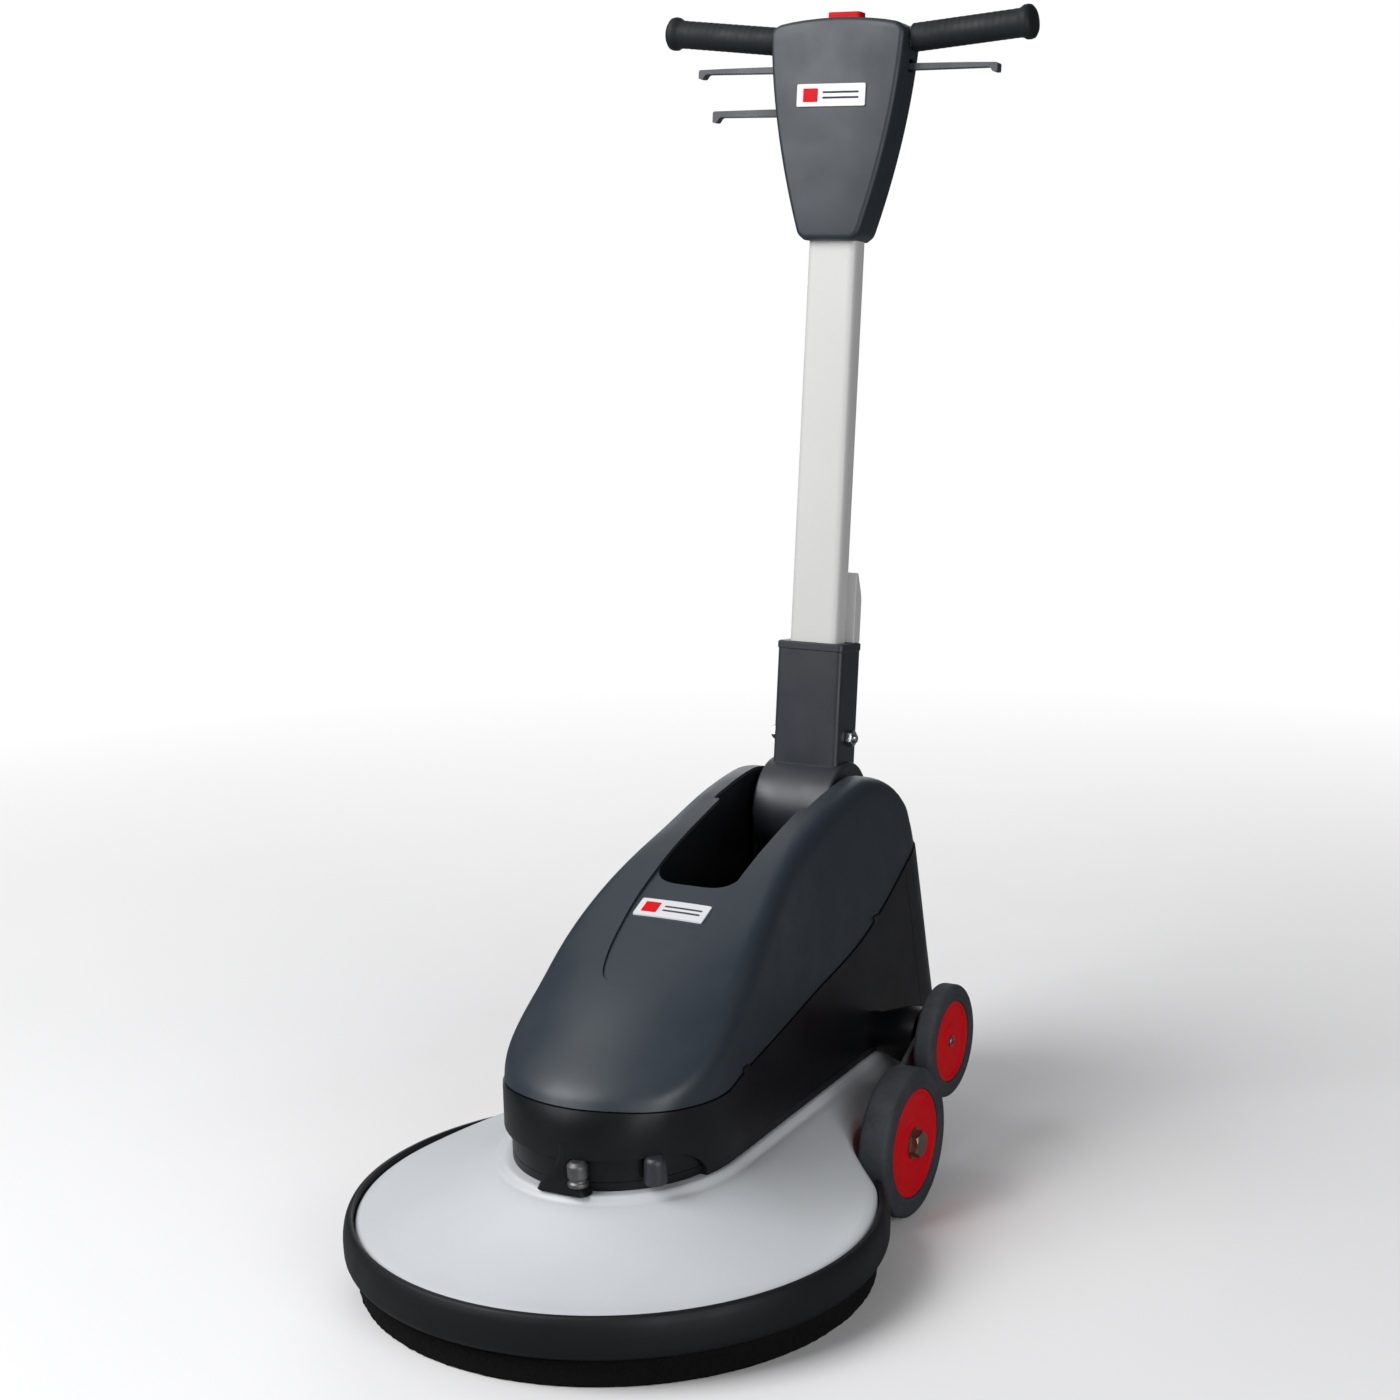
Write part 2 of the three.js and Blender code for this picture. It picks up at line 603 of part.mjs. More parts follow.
function headShells(group) {
  const tubeHole = block([-tubeHalfWidth - gap, tubeHalfWidth + gap], [tubeFront - gap, tubeRear + gap],
    [headBottom - 20, headBottom + 30]);
  const buttonHole = block([-20.5, 20.5], [-14, 5], [headCrown - 12, headCrown + 20]);
  const releaseSlot = block([-100, -20], [-5.8, 5.8], [releaseLeverHeight - 9, releaseLeverHeight + 24]);
  const glandHole = rod('y', 5, 0, 60, [0, 0, 700], 12);
  let cuts = tubeHole.add(buttonHole).add(releaseSlot).add(glandHole).add(barOfRadius(barRadius + 0.5));
  eachSide((side, sign) => {
    const slot = block(span(sign, 40, 100), [-6.8, 6.8], [switchLeverHeight - 8, switchLeverHeight + 10]);
    cuts = cuts.add(slot);
  });
  const front = facing(headOutline(0), headFront, headSplit)
    .subtract(facing(headOutline(headWall), headFront + headWall, headSplit + 1));
  const rear = facing(headOutline(0), headSplit + gap, headRear)
    .subtract(facing(headOutline(headWall), headSplit - 1, headRear - headWall));
  add(group, 'head_front', front.subtract(cuts), hoodPlastic);
  add(group, 'head_rear', rear.subtract(cuts), hoodPlastic);
  const badge = roundedRectangle(42, 12.5, 5, -2, 803);
  add(group, 'head_badge', facing(badge, headFront - gap - 1.5, headFront - gap, 3), badgeWhite);
  const gland = [[5, headRear + gap], [12, headRear + gap], [12, headRear + 7], [9, headRear + 9],
    [7, headRear + 22], [5, headRear + 22]];
  add(group, 'cable_gland', turned(gland, 16, 'y', [0, 0, 700]), blackPlastic);
}

function handlebar(group) {
  add(group, 'handlebar', barOfRadius(barRadius), zincSteel);
  eachSide((side, sign) => {
    const length = gripLength;
    const profile = [[0, length - 4], [barRadius + gap, length - 4], [barRadius + gap, 0], [gripRadius, 0],
      [gripRadius, length - 14], [flangeRadius, length - 9], [flangeRadius, length - 2], [12, length + 3],
      [0, length + 4]];
    const geometry = turnedGeometry(profile, 14);
    geometry.rotateY(sign * (Math.PI / 2 - gripRise));
    geometry.translate(sign * gripStart, barOffset, gripHeight);
    add(group, `grip_${side}`, solid(geometry), gripRubber);
  });
}

// A finger lever: a tapering bar with a round boss at its pivot and a hooked tip.
function lever(pivotX, height, tipX, depth, thickness) {
  const sign = Math.sign(tipX - pivotX);
  const reach = Math.abs(tipX - pivotX);
  const half = thickness / 2;
  const outlinePoints = [[0, -half], [reach - 14, -half + 1.5], [reach - 6, -half - 2.5], [reach, -half - 3],
    [reach, -half + 3], [reach - 8, half - 1.5], [0, half]];
  const bar = polygon(outlinePoints.map(([x, z]) => [pivotX + sign * x, height + z]));
  const boss = rod('y', 8, -depth, depth, [pivotX, 0, height], 14);
  const bore = rod('y', 3 + gap, -20, 20, [pivotX, 0, height], 12);
  return facing(bar, -depth, depth).add(boss).subtract(bore);
}

function controls(group) {
  eachSide((side, sign) => {
    const body = lever(sign * switchPivotX, switchLeverHeight, sign * 184, 6, 10);
    add(group, `switch_lever_${side}`, body, leverPlastic);
    const pin = rod('y', 3, headFront + headWall + gap, headRear - headWall - gap,
      [sign * switchPivotX, 0, switchLeverHeight], 12);
    add(group, `switch_lever_pin_${side}`, pin, zincSteel);
  });
  add(group, 'release_lever', lever(releasePivotX, releaseLeverHeight, -164, 5, 12), leverPlastic);
  const pin = rod('y', 3, headFront + headWall + gap, headRear - headWall - gap,
    [releasePivotX, 0, releaseLeverHeight], 12);
  add(group, 'release_lever_pin', pin, zincSteel);
  add(group, 'switch_block', block([-34, 34], [-20, 10], [812, 830]), blackPlastic);
  const cap = prism('z', roundedRectangle(20, 9, 5, 0, -4.5), 880, 896.7, 3);
  const flange = prism('z', roundedRectangle(24, 10.5, 3, 0, -4.5), 878, 881, 2);
  add(group, 'safety_button', cap.add(flange), redPlastic);
}

function handle() {
  const group = new THREE.Group();
  group.position.set(0, hingeY, hingeZ);
  group.rotation.x = -lean;
  add(group, 'handle_yoke', handleYoke(), castAluminium);
  add(group, 'handle_tube', handleTube(), tubePaint);
  add(group, 'latch_housing', latchHousing(), silverPaint);
  add(group, 'release_rod', releaseRod(), zincSteel);
  boltAndNut(group);
  headShells(group);
  handlebar(group);
  controls(group);
  return group;
}

// ---- the machine ----
const machine = new THREE.Group();
const rearReach = hingeY + headCrown * Math.sin(lean) + headRear * Math.cos(lean);
machine.position.y = -(rearReach - bumperRadius) / 2;
add(machine, 'deck_housing', deckHousing(), silverPaint);
add(machine, 'bumper', bumper(), bumperPlastic);
add(machine, 'floor_plate', floorPlate(), blackPaint);
padDrive(machine);
motor(machine);
bodyShells(machine);
hingeMount(machine);
wheelGear(machine);
machine.add(handle());

export default machine;
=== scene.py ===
"""Looks of the rotary floor machine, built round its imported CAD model.

Shapes are drawn in millimetres in one of two frames and then brought into the row frame in metres:
MACHINE has its origin on the floor under the middle of the pad, with +Y to the rear.
HANDLE has its origin on the hinge, with z up the handle and y across its thickness. What rides on a
body of HANDLE_BODIES is drawn in HANDLE, and everything else in MACHINE.
"""

import json
import math

import bmesh
import bpy
import numpy as np
from mathutils import Matrix, Vector


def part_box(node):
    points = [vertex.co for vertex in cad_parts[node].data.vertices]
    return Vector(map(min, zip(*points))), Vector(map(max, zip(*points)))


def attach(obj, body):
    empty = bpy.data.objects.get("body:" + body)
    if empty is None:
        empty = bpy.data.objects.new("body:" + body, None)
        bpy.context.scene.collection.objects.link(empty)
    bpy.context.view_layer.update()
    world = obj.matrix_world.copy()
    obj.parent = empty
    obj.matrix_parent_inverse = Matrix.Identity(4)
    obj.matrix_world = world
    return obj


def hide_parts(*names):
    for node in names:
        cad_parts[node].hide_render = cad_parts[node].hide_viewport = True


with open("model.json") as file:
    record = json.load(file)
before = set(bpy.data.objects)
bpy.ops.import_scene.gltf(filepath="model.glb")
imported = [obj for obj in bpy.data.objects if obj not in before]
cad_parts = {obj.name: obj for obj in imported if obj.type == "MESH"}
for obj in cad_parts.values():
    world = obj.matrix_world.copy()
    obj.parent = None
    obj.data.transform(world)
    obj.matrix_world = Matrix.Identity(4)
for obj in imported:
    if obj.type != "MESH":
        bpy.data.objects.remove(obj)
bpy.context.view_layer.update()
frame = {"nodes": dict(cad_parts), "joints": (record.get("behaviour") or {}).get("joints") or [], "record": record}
random = np.random.default_rng(7)


def middle(node):
    low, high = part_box(node)
    return (Vector(low) + Vector(high)) / 2


rod_lift = next(joint for joint in frame["joints"] if joint["name"] == "release_rod_lift")
lean = math.atan2(rod_lift["axis"][1], rod_lift["axis"][2])
MILLIMETRES = Matrix.Scale(0.001, 4)
MACHINE = Matrix.Translation((0, middle("pad").y, 0)) @ MILLIMETRES
HANDLE = Matrix.Translation(middle("hinge_shaft")) @ Matrix.Rotation(-lean, 4, "X") @ MILLIMETRES
HANDLE_BODIES = ("handle", "release_lever", "switch_lever_left", "switch_lever_right", "safety_button")

# ---- driving dimensions, as in the CAD model ----
GAP = 0.3

# Cutting tools reach this far, past the body on every side.
WIDER = (-200, 200)
HIGHER = 520
FURTHER = 700

BUMPER_RADIUS = 280
DECK_RADIUS = 268.5
DECK_BOTTOM = 34
DECK_WALL = 4
DECK_HOLE = 92
TAIL_HALF = 176
TAIL_REAR = 480
TAIL_BOTTOM = 58
PAD_RADIUS = 266.5
PAD_HEIGHT = 30

PLATFORM = 127
FLOOR_PLATE_TOP = 136
FLOOR_PLATE_HOLE = 89
BODY_WALL = 4
BODY_HALF = 122
NOSE_DEPTH = 141
NOSE_CENTRE = 30
BODY_REAR = 575
REAR_CORNER = 46
REAR_COVER_FRONT = 505
BODY_TOP = 440
TAPER = 36
CROWN = 220
CROWN_FULL = 270
CROWN_FLAT = 400
NOSE_SHOULDER = 7
SHOULDER = 20
REAR_SHOULDER = 12
LAST_RIB_FOOT = 480
HOOD_INSET = 1.6
SEAM_GAP = 1.2
TONGUE_DEPTH = 3.4
RECESS_DEPTH = 7.5
RECESS_TOP = 162

POCKET_FRONT = 175
POCKET_STEP = 340
POCKET_REAR = 551
POCKET_FLOOR = 296
POCKET_HALF = 50
POCKET_REAR_HALF = 58
BRACKET_SLOT = (48.5, 56.5)

DRUM_RADIUS = 57
DRUM_HALF = 47
SHAFT_RADIUS = 12
SOCKET_HALF = 41.6
SOCKET_FRONT = -23.8
SOCKET_REAR = 30.2
SOCKET_TOP = 192
TUBE_HALF = 30
TUBE_FRONT = -16.8
TUBE_REAR = 13.2
TUBE_BOTTOM = 62
TUBE_TOP = 760
TUBE_WALL = 2.5
BOLT_CENTRE = (0, 4.5, 84)

HEAD_BOTTOM = 644
HEAD_TOP = 882
HEAD_CROWN = 889
HEAD_FRONT = -30.8
HEAD_SPLIT = -8
HEAD_REAR = 17.5
HEAD_WALL = 3
BAR_OFFSET = -3
GRIP_RISE = math.radians(5.5)
GRIP_START = 84
GRIP_LENGTH = 137
GRIP_HEIGHT = 867.5
GRIP_RADIUS = 15.8
FLANGE_RADIUS = 19
SWITCH_HEIGHT = 836
SWITCH_PIVOT = 52
SWITCH_TIP = 184
RELEASE_HEIGHT = 788
RELEASE_PIVOT = 34
RELEASE_TIP = -164
GLAND_HEIGHT = 700
HEAD_BADGE_CENTRE = (-2, 803)
HOOD_BADGE_CENTRE = (0, 133.5)

MAIN_WHEEL = dict(radius=80.3, hub=58.7, inner=191, outer=225.6, centre=(0, 250.6, 80.3), bore=10.3)
REAR_WHEEL = dict(radius=62.7, hub=44.9, inner=190.5, outer=214, centre=(0, 380.2, 150.2), bore=6.3)
CARRIER_OUTER = 183


# ---- curves ----
def smooth_step(value, start, end):
    t = np.clip((value - start) / (end - start), 0, 1)
    return t * t * (3 - 2 * t)


def smooth_max(a, b, width):
    overlap = np.maximum(width - np.abs(a - b), 0) / width
    return np.maximum(a, b) + overlap * overlap * width / 4


def spline(points, steps=10):
    """A smooth curve through the points."""
    points = np.asarray(points, float)
    before = np.vstack([2 * points[0] - points[1], points[:-1]])
    after = np.vstack([points[1:], 2 * points[-1] - points[-2]])
    slopes = (after - before) / 2
    curve = []
    for i in range(len(points) - 1):
        for t in np.linspace(0, 1, steps, endpoint=False):
            start = (2 * t**3 - 3 * t**2 + 1) * points[i] + (t**3 - 2 * t**2 + t) * slopes[i]
            end = (3 * t**2 - 2 * t**3) * points[i + 1] + (t**3 - t**2) * slopes[i + 1]
            curve.append(start + end)
    curve.append(points[-1])
    return np.array(curve)


def around(count):
    """That many angles, evenly round a circle."""
    return np.arange(count) / count * 2 * math.pi


def rounded(points, radius, steps=5, closed=True):
    """The outline with its corners rounded. radius is one number, or one for each corner."""
    points = np.asarray(points, float)
    count = len(points)
    radii = np.broadcast_to(radius, count)
    curve = []
    for i in range(count):
        before, corner, after = points[i - 1], points[i], points[(i + 1) % count]
        at_end = not closed and i in (0, count - 1)
        if at_end or radii[i] == 0:
            curve.append(corner)
            continue
        back, onward = before - corner, after - corner
        reach = min(radii[i], 0.48 * np.linalg.norm(back), 0.48 * np.linalg.norm(onward))
        start = corner + back / np.linalg.norm(back) * reach
        end = corner + onward / np.linalg.norm(onward) * reach
        for t in np.linspace(0, 1, steps + 1):
            curve.append((1 - t) ** 2 * start + 2 * t * (1 - t) * corner + t * t * end)
    return np.array(curve)


def both_sides(half, starts_on_middle=True):
    """A right half, of points or rows of points, followed by its mirror image back to the start."""
    half = np.asarray(half, float)
    other = half[-2 : 0 if starts_on_middle else None : -1].copy()
    other[..., 0] *= -1
    return np.concatenate([half, other])


def rectangle(half_a, half_b, radius, centre=(0, 0), steps=5):
    a, b = centre
    signs = [(-1, -1), (1, -1), (1, 1), (-1, 1)]
    return rounded([(a + i * half_a, b + j * half_b) for i, j in signs], radius, steps)


def offset(outline, amount):
    """The closed outline moved in by that amount."""
    outline = np.asarray(outline, float)
    edges = np.roll(outline, -1, axis=0) - outline
    edges /= np.linalg.norm(edges, axis=1)[:, None]
    normals = np.c_[-edges[:, 1], edges[:, 0]]
    joined = normals + np.roll(normals, 1, axis=0)
    joined /= np.maximum((joined * joined).sum(axis=1) / 2, 0.5)[:, None]
    a, b = outline.T
    area = np.sum(a * np.roll(b, -1) - b * np.roll(a, -1))
    return outline + np.sign(area) * amount * joined


# ---- meshes, still in millimetres ----
def mesh_from(vertices, faces):
    shape = bmesh.new()
    made = [shape.verts.new(tuple(vertex)) for vertex in vertices]
    for face in faces:
        shape.faces.new([made[i] for i in face])
    bmesh.ops.remove_doubles(shape, verts=shape.verts, dist=0.002)
    bmesh.ops.dissolve_degenerate(shape, edges=shape.edges, dist=0.001)
    bmesh.ops.recalc_face_normals(shape, faces=shape.faces)
    mesh = bpy.data.meshes.new("shape")
    shape.to_mesh(mesh)
    shape.free()
    return mesh


def laid(points, axis):
    """(a, b, along) points as x, y, z, with the third number along the axis."""
    a, b, along = np.asarray(points, float).T
    return {"x": np.c_[along, a, b], "y": np.c_[a, along, b], "z": np.c_[a, b, along]}[axis]


def grid(rows, wrap_rows=False, wrap_columns=False, cap_rows=False, cap_columns=False):
    """A surface over rows of points, which may close on itself and be capped either way."""
    rows = np.asarray(rows, float)
    count, width = rows.shape[:2]
    faces = []
    for i in range(count if wrap_rows else count - 1):
        for j in range(width if wrap_columns else width - 1):
            k, n = (i + 1) % count, (j + 1) % width
            faces.append((i * width + j, k * width + j, k * width + n, i * width + n))
    if cap_rows:
        faces += [range(width), range((count - 1) * width, count * width)]
    if cap_columns:
        faces.append(range(0, count * width, width))
    return mesh_from(rows.reshape(-1, 3), faces)


def loft(rows):
    """A solid through closed rows of points, with a flat face over its first and last row."""
    return grid(rows, wrap_columns=True, cap_rows=True)


def ring(outline, level, axis="z"):
    """The outline as points in space, all at one level along the axis."""
    return laid([(a, b, level) for a, b in outline], axis)


def prism(outline, start, end, axis="z"):
    return loft([ring(outline, start, axis), ring(outline, end, axis)])


def block(x, y, z):
    return prism([(x[0], y[0]), (x[1], y[0]), (x[1], y[1]), (x[0], y[1])], z[0], z[1])


def lathe(profile, segments=72, axis="z", centre=(0, 0, 0)):
    """A profile of (radius, height) turned about an axis: a loop unless it starts on the axis."""
    rows = []
    for angle in around(segments):
        row = [(r * math.cos(angle), r * math.sin(angle), height) for r, height in profile]
        rows.append(laid(row, axis) + np.array(centre, float))
    return grid(rows, wrap_rows=True, wrap_columns=profile[0][0] > 0)


def cylinder(axis, radius, start, end, centre=(0, 0, 0), segments=48):
    return lathe([(0, start), (radius, start), (radius, end), (0, end)], segments, axis, centre)


def turned(corners, radii, steps, segments, axis="z", centre=(0, 0, 0), sign=1):
    """A lathed solid whose profile has rounded corners, or its mirror image with a sign of -1."""
    profile = rounded(corners, radii, steps, closed=corners[0][0] > 0)
    return lathe([(radius, sign * height) for radius, height in profile], segments, axis, centre)


def placed(name, data):
    """A new object in the scene."""
    made = bpy.data.objects.new(name, data)
    bpy.context.scene.collection.objects.link(made)
    return made


def combined(body, tool, operation):
    """body and tool as one mesh: DIFFERENCE, UNION or INTERSECT."""
    objects = [placed(mesh.name, mesh) for mesh in (body, tool)]
    modifier = objects[0].modifiers.new("join", "BOOLEAN")
    modifier.operation = operation
    modifier.solver = "MANIFOLD"
    modifier.object = objects[1]
    depsgraph = bpy.context.evaluated_depsgraph_get()
    result = bpy.data.meshes.new_from_object(objects[0].evaluated_get(depsgraph))
    for item in objects:
        bpy.data.objects.remove(item)
    return result


def cut(body, *tools):
    for tool in tools:
        body = combined(body, tool, "DIFFERENCE")
    return body


def kept(body, tool):
    """What lies inside both body and tool."""
    return combined(body, tool, "INTERSECT")


def joined(body, *others):
    for other in others:
        body = combined(body, other, "UNION")
    return body


# ---- finishes ----
def linear(red, green, blue):
    """The shader's linear colour for a display colour with parts from 0 to 255."""
    shares = [part / 255 for part in (red, green, blue)]
    return [((s + 0.055) / 1.055) ** 2.4 if s > 0.04 else s / 12.92 for s in shares] + [1]


def set_inputs(node, values):
    for key, value in values.items():
        node.inputs[key].default_value = value


class Finish:
    """A procedural material: colour, roughness and bump each vary with noise at their own scale."""

    def __init__(self, colour, metallic=0.0, coat=0.0, specular=0.5):
        self.material = bpy.data.materials.new("finish")
        self.material.use_nodes = True
        self.tree = self.material.node_tree
        self.shader = self.tree.nodes["Principled BSDF"]
        set_inputs(self.shader, {"Metallic": metallic, "Coat Weight": coat, "Coat Roughness": 0.12,
                                 "Specular IOR Level": specular})
        self.place = self.node("ShaderNodeTexCoord").outputs["Object"]
        self.height = None
        self.colour = self.node("ShaderNodeRGB").outputs["Color"]
        self.colour.default_value = linear(*colour)

    def link(self, output, input_socket):
        self.tree.links.new(output, input_socket)

    def node(self, kind, **values):
        made = self.tree.nodes.new(kind)
        for key, value in values.items():
            setattr(made, key, value)
        return made

    def noise(self, scale, detail=3.0, stretch=(1, 1, 1)):
        mapping = self.node("ShaderNodeMapping")
        mapping.inputs["Scale"].default_value = stretch
        self.link(self.place, mapping.inputs["Vector"])
        noise = self.node("ShaderNodeTexNoise")
        set_inputs(noise, {"Scale": scale, "Detail": detail})
        self.link(mapping.outputs["Vector"], noise.inputs["Vector"])
        return noise.outputs["Fac"]

    def spread(self, value, low, high, start=0.3, end=0.7):
        """The noise between start and end mapped to low and high."""
        node = self.node("ShaderNodeMapRange")
        set_inputs(node, {"From Min": start, "From Max": end, "To Min": low, "To Max": high})
        self.link(value, node.inputs["Value"])
        return node.outputs["Result"]

    def tint(self, value, colour):
        """The colour, mixed towards another one by a value from 0 to 1."""
        mix = self.node("ShaderNodeMix", data_type="RGBA")
        share, before, after, mixed = mix.inputs[0], mix.inputs[6], mix.inputs[7], mix.outputs[2]
        after.default_value = linear(*colour)
        self.link(value, share)
        self.link(self.colour, before)
        self.link(mixed, self.shader.inputs["Base Color"])
        self.colour = mixed

    def roughness(self, value):
        self.link(value, self.shader.inputs["Roughness"])

    def bump(self, value, depth):
        """Adds relief of that depth in metres."""
        node = self.node("ShaderNodeBump")
        set_inputs(node, {"Strength": 1.0, "Distance": depth})
        self.link(value, node.inputs["Height"])
        if self.height:
            self.link(self.height, node.inputs["Normal"])
        self.height = node.outputs["Normal"]
        self.link(self.height, self.shader.inputs["Normal"])


def moulded(colour, worn, roughness, grain=0.00006, specular=0.5, coat=0.0):
    """Moulded plastic: fine spark-eroded grain, faint flow marks and light handling scuffs."""
    made = Finish(colour, coat=coat, specular=specular)
    made.tint(made.spread(made.noise(7.0, 5.0), 0.0, 0.35), worn)
    made.tint(made.spread(made.noise(38.0, 8.0, (1, 1, 0.35)), 0.0, 0.5, 0.66, 0.8), worn)
    made.roughness(made.spread(made.noise(22.0, 6.0), roughness - 0.05, roughness + 0.08))
    made.bump(made.noise(1500.0, 2.0), grain)
    made.bump(made.noise(9.0, 2.0), 0.0004)
    return made.material


def painted(colour, dusty, roughness, coat):
    """Sprayed paint: tiny pale flakes, orange peel and a thin film of dust."""
    made = Finish(colour, coat=coat)
    made.tint(made.spread(made.noise(2600.0, 1.0), 0.0, 0.25, 0.45, 0.75), (235, 238, 242))
    made.tint(made.spread(made.noise(5.0, 6.0), 0.0, 0.3, 0.4, 0.75), dusty)
    made.roughness(made.spread(made.noise(16.0, 6.0), roughness - 0.04, roughness + 0.08))
    made.bump(made.noise(420.0, 2.0), 0.00003)
    made.bump(made.noise(60.0, 3.0), 0.00005)
    return made.material


def rubber(colour, dusty, roughness=0.72):
    """Solid rubber: a dull, slightly dusty skin with fine pits."""
    made = Finish(colour, specular=0.35)
    made.tint(made.spread(made.noise(30.0, 8.0), 0.0, 0.55, 0.42, 0.72), dusty)
    made.tint(made.spread(made.noise(240.0, 4.0), 0.0, 0.25), dusty)
    made.roughness(made.spread(made.noise(45.0, 5.0), roughness - 0.08, roughness + 0.1))
    made.bump(made.noise(900.0, 3.0), 0.00012)
    return made.material


def metal(colour, dull, roughness):
    """Bare or plated metal, dull in places, with fine machining marks."""
    made = Finish(colour, metallic=1.0)
    made.tint(made.spread(made.noise(60.0, 6.0), 0.0, 0.6), dull)
    made.roughness(made.spread(made.noise(90.0, 5.0), roughness - 0.08, roughness + 0.12))
    made.bump(made.noise(700.0, 2.0), 0.00003)
    return made.material


def fibre(colour, lint):
    """Non-woven pad: a tangle of coarse crimped fibres with resin and lint."""
    made = Finish(colour, specular=0.2)
    made.tint(made.spread(made.noise(700.0, 5.0, (1, 1, 2.2)), 0.0, 0.6, 0.52, 0.75), lint)
    made.roughness(made.spread(made.noise(300.0, 4.0), 0.85, 1.0))
    made.bump(made.noise(520.0, 6.0, (1, 1, 2.0)), 0.0012)
    made.bump(made.noise(120.0, 4.0), 0.0012)
    return made.material


FINISHES = {
    "silver_paint": painted((194, 197, 201), (184, 187, 191), 0.5, 0.15),
    "tube_paint": painted((202, 202, 200), (192, 192, 190), 0.45, 0.1),
    "hood_plastic": moulded((33, 42, 51), (41, 50, 59), 0.45, specular=0.55),
    "black_plastic": moulded((17, 18, 21), (23, 24, 27), 0.36, 0.00003, specular=0.25),
    "bumper_plastic": moulded((15, 17, 20), (22, 24, 27), 0.5, 0.00008, specular=0.25),
    "black_paint": painted((14, 14, 15), (26, 26, 27), 0.45, 0.1),
    "pad_fibre": fibre((6, 6, 7), (24, 24, 26)),
    "tyre_rubber": rubber((46, 50, 55), (68, 70, 72)),
    "grip_rubber": rubber((18, 23, 26), (28, 33, 36), 0.62),
    "red_plastic": moulded((206, 8, 20), (208, 14, 26), 0.5, 0.00005, specular=0.12),
    "lever_plastic": moulded((50, 54, 60), (66, 70, 75), 0.45),
    "badge_white": moulded((216, 217, 220), (204, 205, 208), 0.35, 0.00001, coat=0.2),
    "zinc_steel": metal((200, 202, 205), (150, 151, 152), 0.3),
    "cast_iron": metal((120, 120, 120), (84, 84, 85), 0.5),
    "cast_aluminium": moulded((34, 38, 45), (44, 48, 55), 0.42, 0.0001, specular=0.6),
    "bare_aluminium": metal((158, 150, 138), (112, 104, 94), 0.42),
}
for name, material in FINISHES.items():
    material.name = name


def round_edges(item, width, segments):
    """Adds a bevel of that width in millimetres to the sharp edges."""
    rounding = item.modifiers.new("rounding", "BEVEL")
    rounding.width = width / 1000
    rounding.segments = segments
    rounding.limit_method = "ANGLE"
    rounding.angle_limit = math.radians(40)
    return rounding


def piece(name, mesh, body, slot, nodes=(), bevel=0.0, crease=32):
    """Brings a mesh into the row frame as a piece on a body, standing for the CAD nodes named."""
    mesh.transform(HANDLE if body in HANDLE_BODIES else MACHINE)
    mesh.name = name
    mesh.materials.clear()
    mesh.materials.append(FINISHES[slot])
    mesh.shade_smooth()
    mesh.set_sharp_from_angle(angle=math.radians(crease))
    made = placed(name, mesh)
    if bevel:
        round_edges(made, bevel, 3).harden_normals = True
    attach(made, body)
    if nodes:
        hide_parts(*nodes)
    return made


SIDES = (("left", -1), ("right", 1))


def span(sign, near, far):
    """The stretch between two distances from the middle, to one side."""
    return (near, far) if sign > 0 else (-far, -near)


# ---- body shells ----
SIDE_PROFILE = spline([(-150, 60), (-122, 150), (-110, 183), (-100, 208), (-86, 228), (-45, 257),
                       (24, 301), (111, 341), (221, 382), (331, 410), (383, 419), (430, 423),
                       (456, 421), (485, 413), (507, 402), (526, 386), (541, 366), (550, 344),
                       (558, 312), (573, 236), (592, 100)], 8)
SEAM = spline([(-200, 213), (-108, 210), (-60, 206), (16, 203), (74, 214), (229, 232), (351, 250),
               (431, 273), (515, 308), (640, 362)], 8)


def wall_depth(x, y, z):
    """Distance outside the body's side walls, negative inside. They lean in towards the top."""
    narrowing = (z - PLATFORM) / (BODY_TOP - PLATFORM)
    across = np.abs(x) + TAPER * smooth_step(y, 20, 290) * narrowing
    nose_y = (y - NOSE_CENTRE) / NOSE_DEPTH
    nose_x = across / BODY_HALF
    round_off = np.hypot(nose_x, nose_y)
    slope = np.hypot(nose_x / BODY_HALF, nose_y / NOSE_DEPTH) + 1e-9
    nose = round_off * (round_off - 1) / slope
    side = across - (BODY_HALF - REAR_CORNER)
    rear = y - (BODY_REAR - REAR_CORNER)
    outside = np.hypot(np.maximum(side, 0), np.maximum(rear, 0))
    inside = np.minimum(np.maximum(side, rear), 0)
    return np.where(y < NOSE_CENTRE, nose, outside + inside - REAR_CORNER)


def top_depth(x, y, z, crown):
    """Distance outside the body's side profile, which moves back beside the middle at the nose."""
    flat = np.maximum(smooth_step(z, CROWN_FULL, CROWN_FLAT), smooth_step(y, 330, 450))
    along = y - x * x / crown * (1 - flat)
    best = np.full(along.shape, 1e9)
    side = np.ones(along.shape)
    for (y0, z0), (y1, z1) in zip(SIDE_PROFILE[:-1], SIDE_PROFILE[1:]):
        dy, dz = y1 - y0, z1 - z0
        t = np.clip(((along - y0) * dy + (z - z0) * dz) / (dy * dy + dz * dz), 0, 1)
        away_y, away_z = along - y0 - t * dy, z - z0 - t * dz
        distance = np.hypot(away_y, away_z)
        nearer = distance < best
        side = np.where(nearer, np.where(away_z * dy - away_y * dz >= 0, 1, -1), side)
        best = np.minimum(best, distance)
    return best * side


def body_depth(points, crown=CROWN):
    """Distance outside the body, negative inside, with its shoulders rounded."""
    x, y, z = points[..., 0], points[..., 1], points[..., 2]
    shoulder = NOSE_SHOULDER + (SHOULDER - NOSE_SHOULDER) * smooth_step(y, -60, 70)
    shoulder -= (SHOULDER - REAR_SHOULDER) * smooth_step(y, 480, 540)
    return smooth_max(wall_depth(x, y, z), top_depth(x, y, z, crown), shoulder)


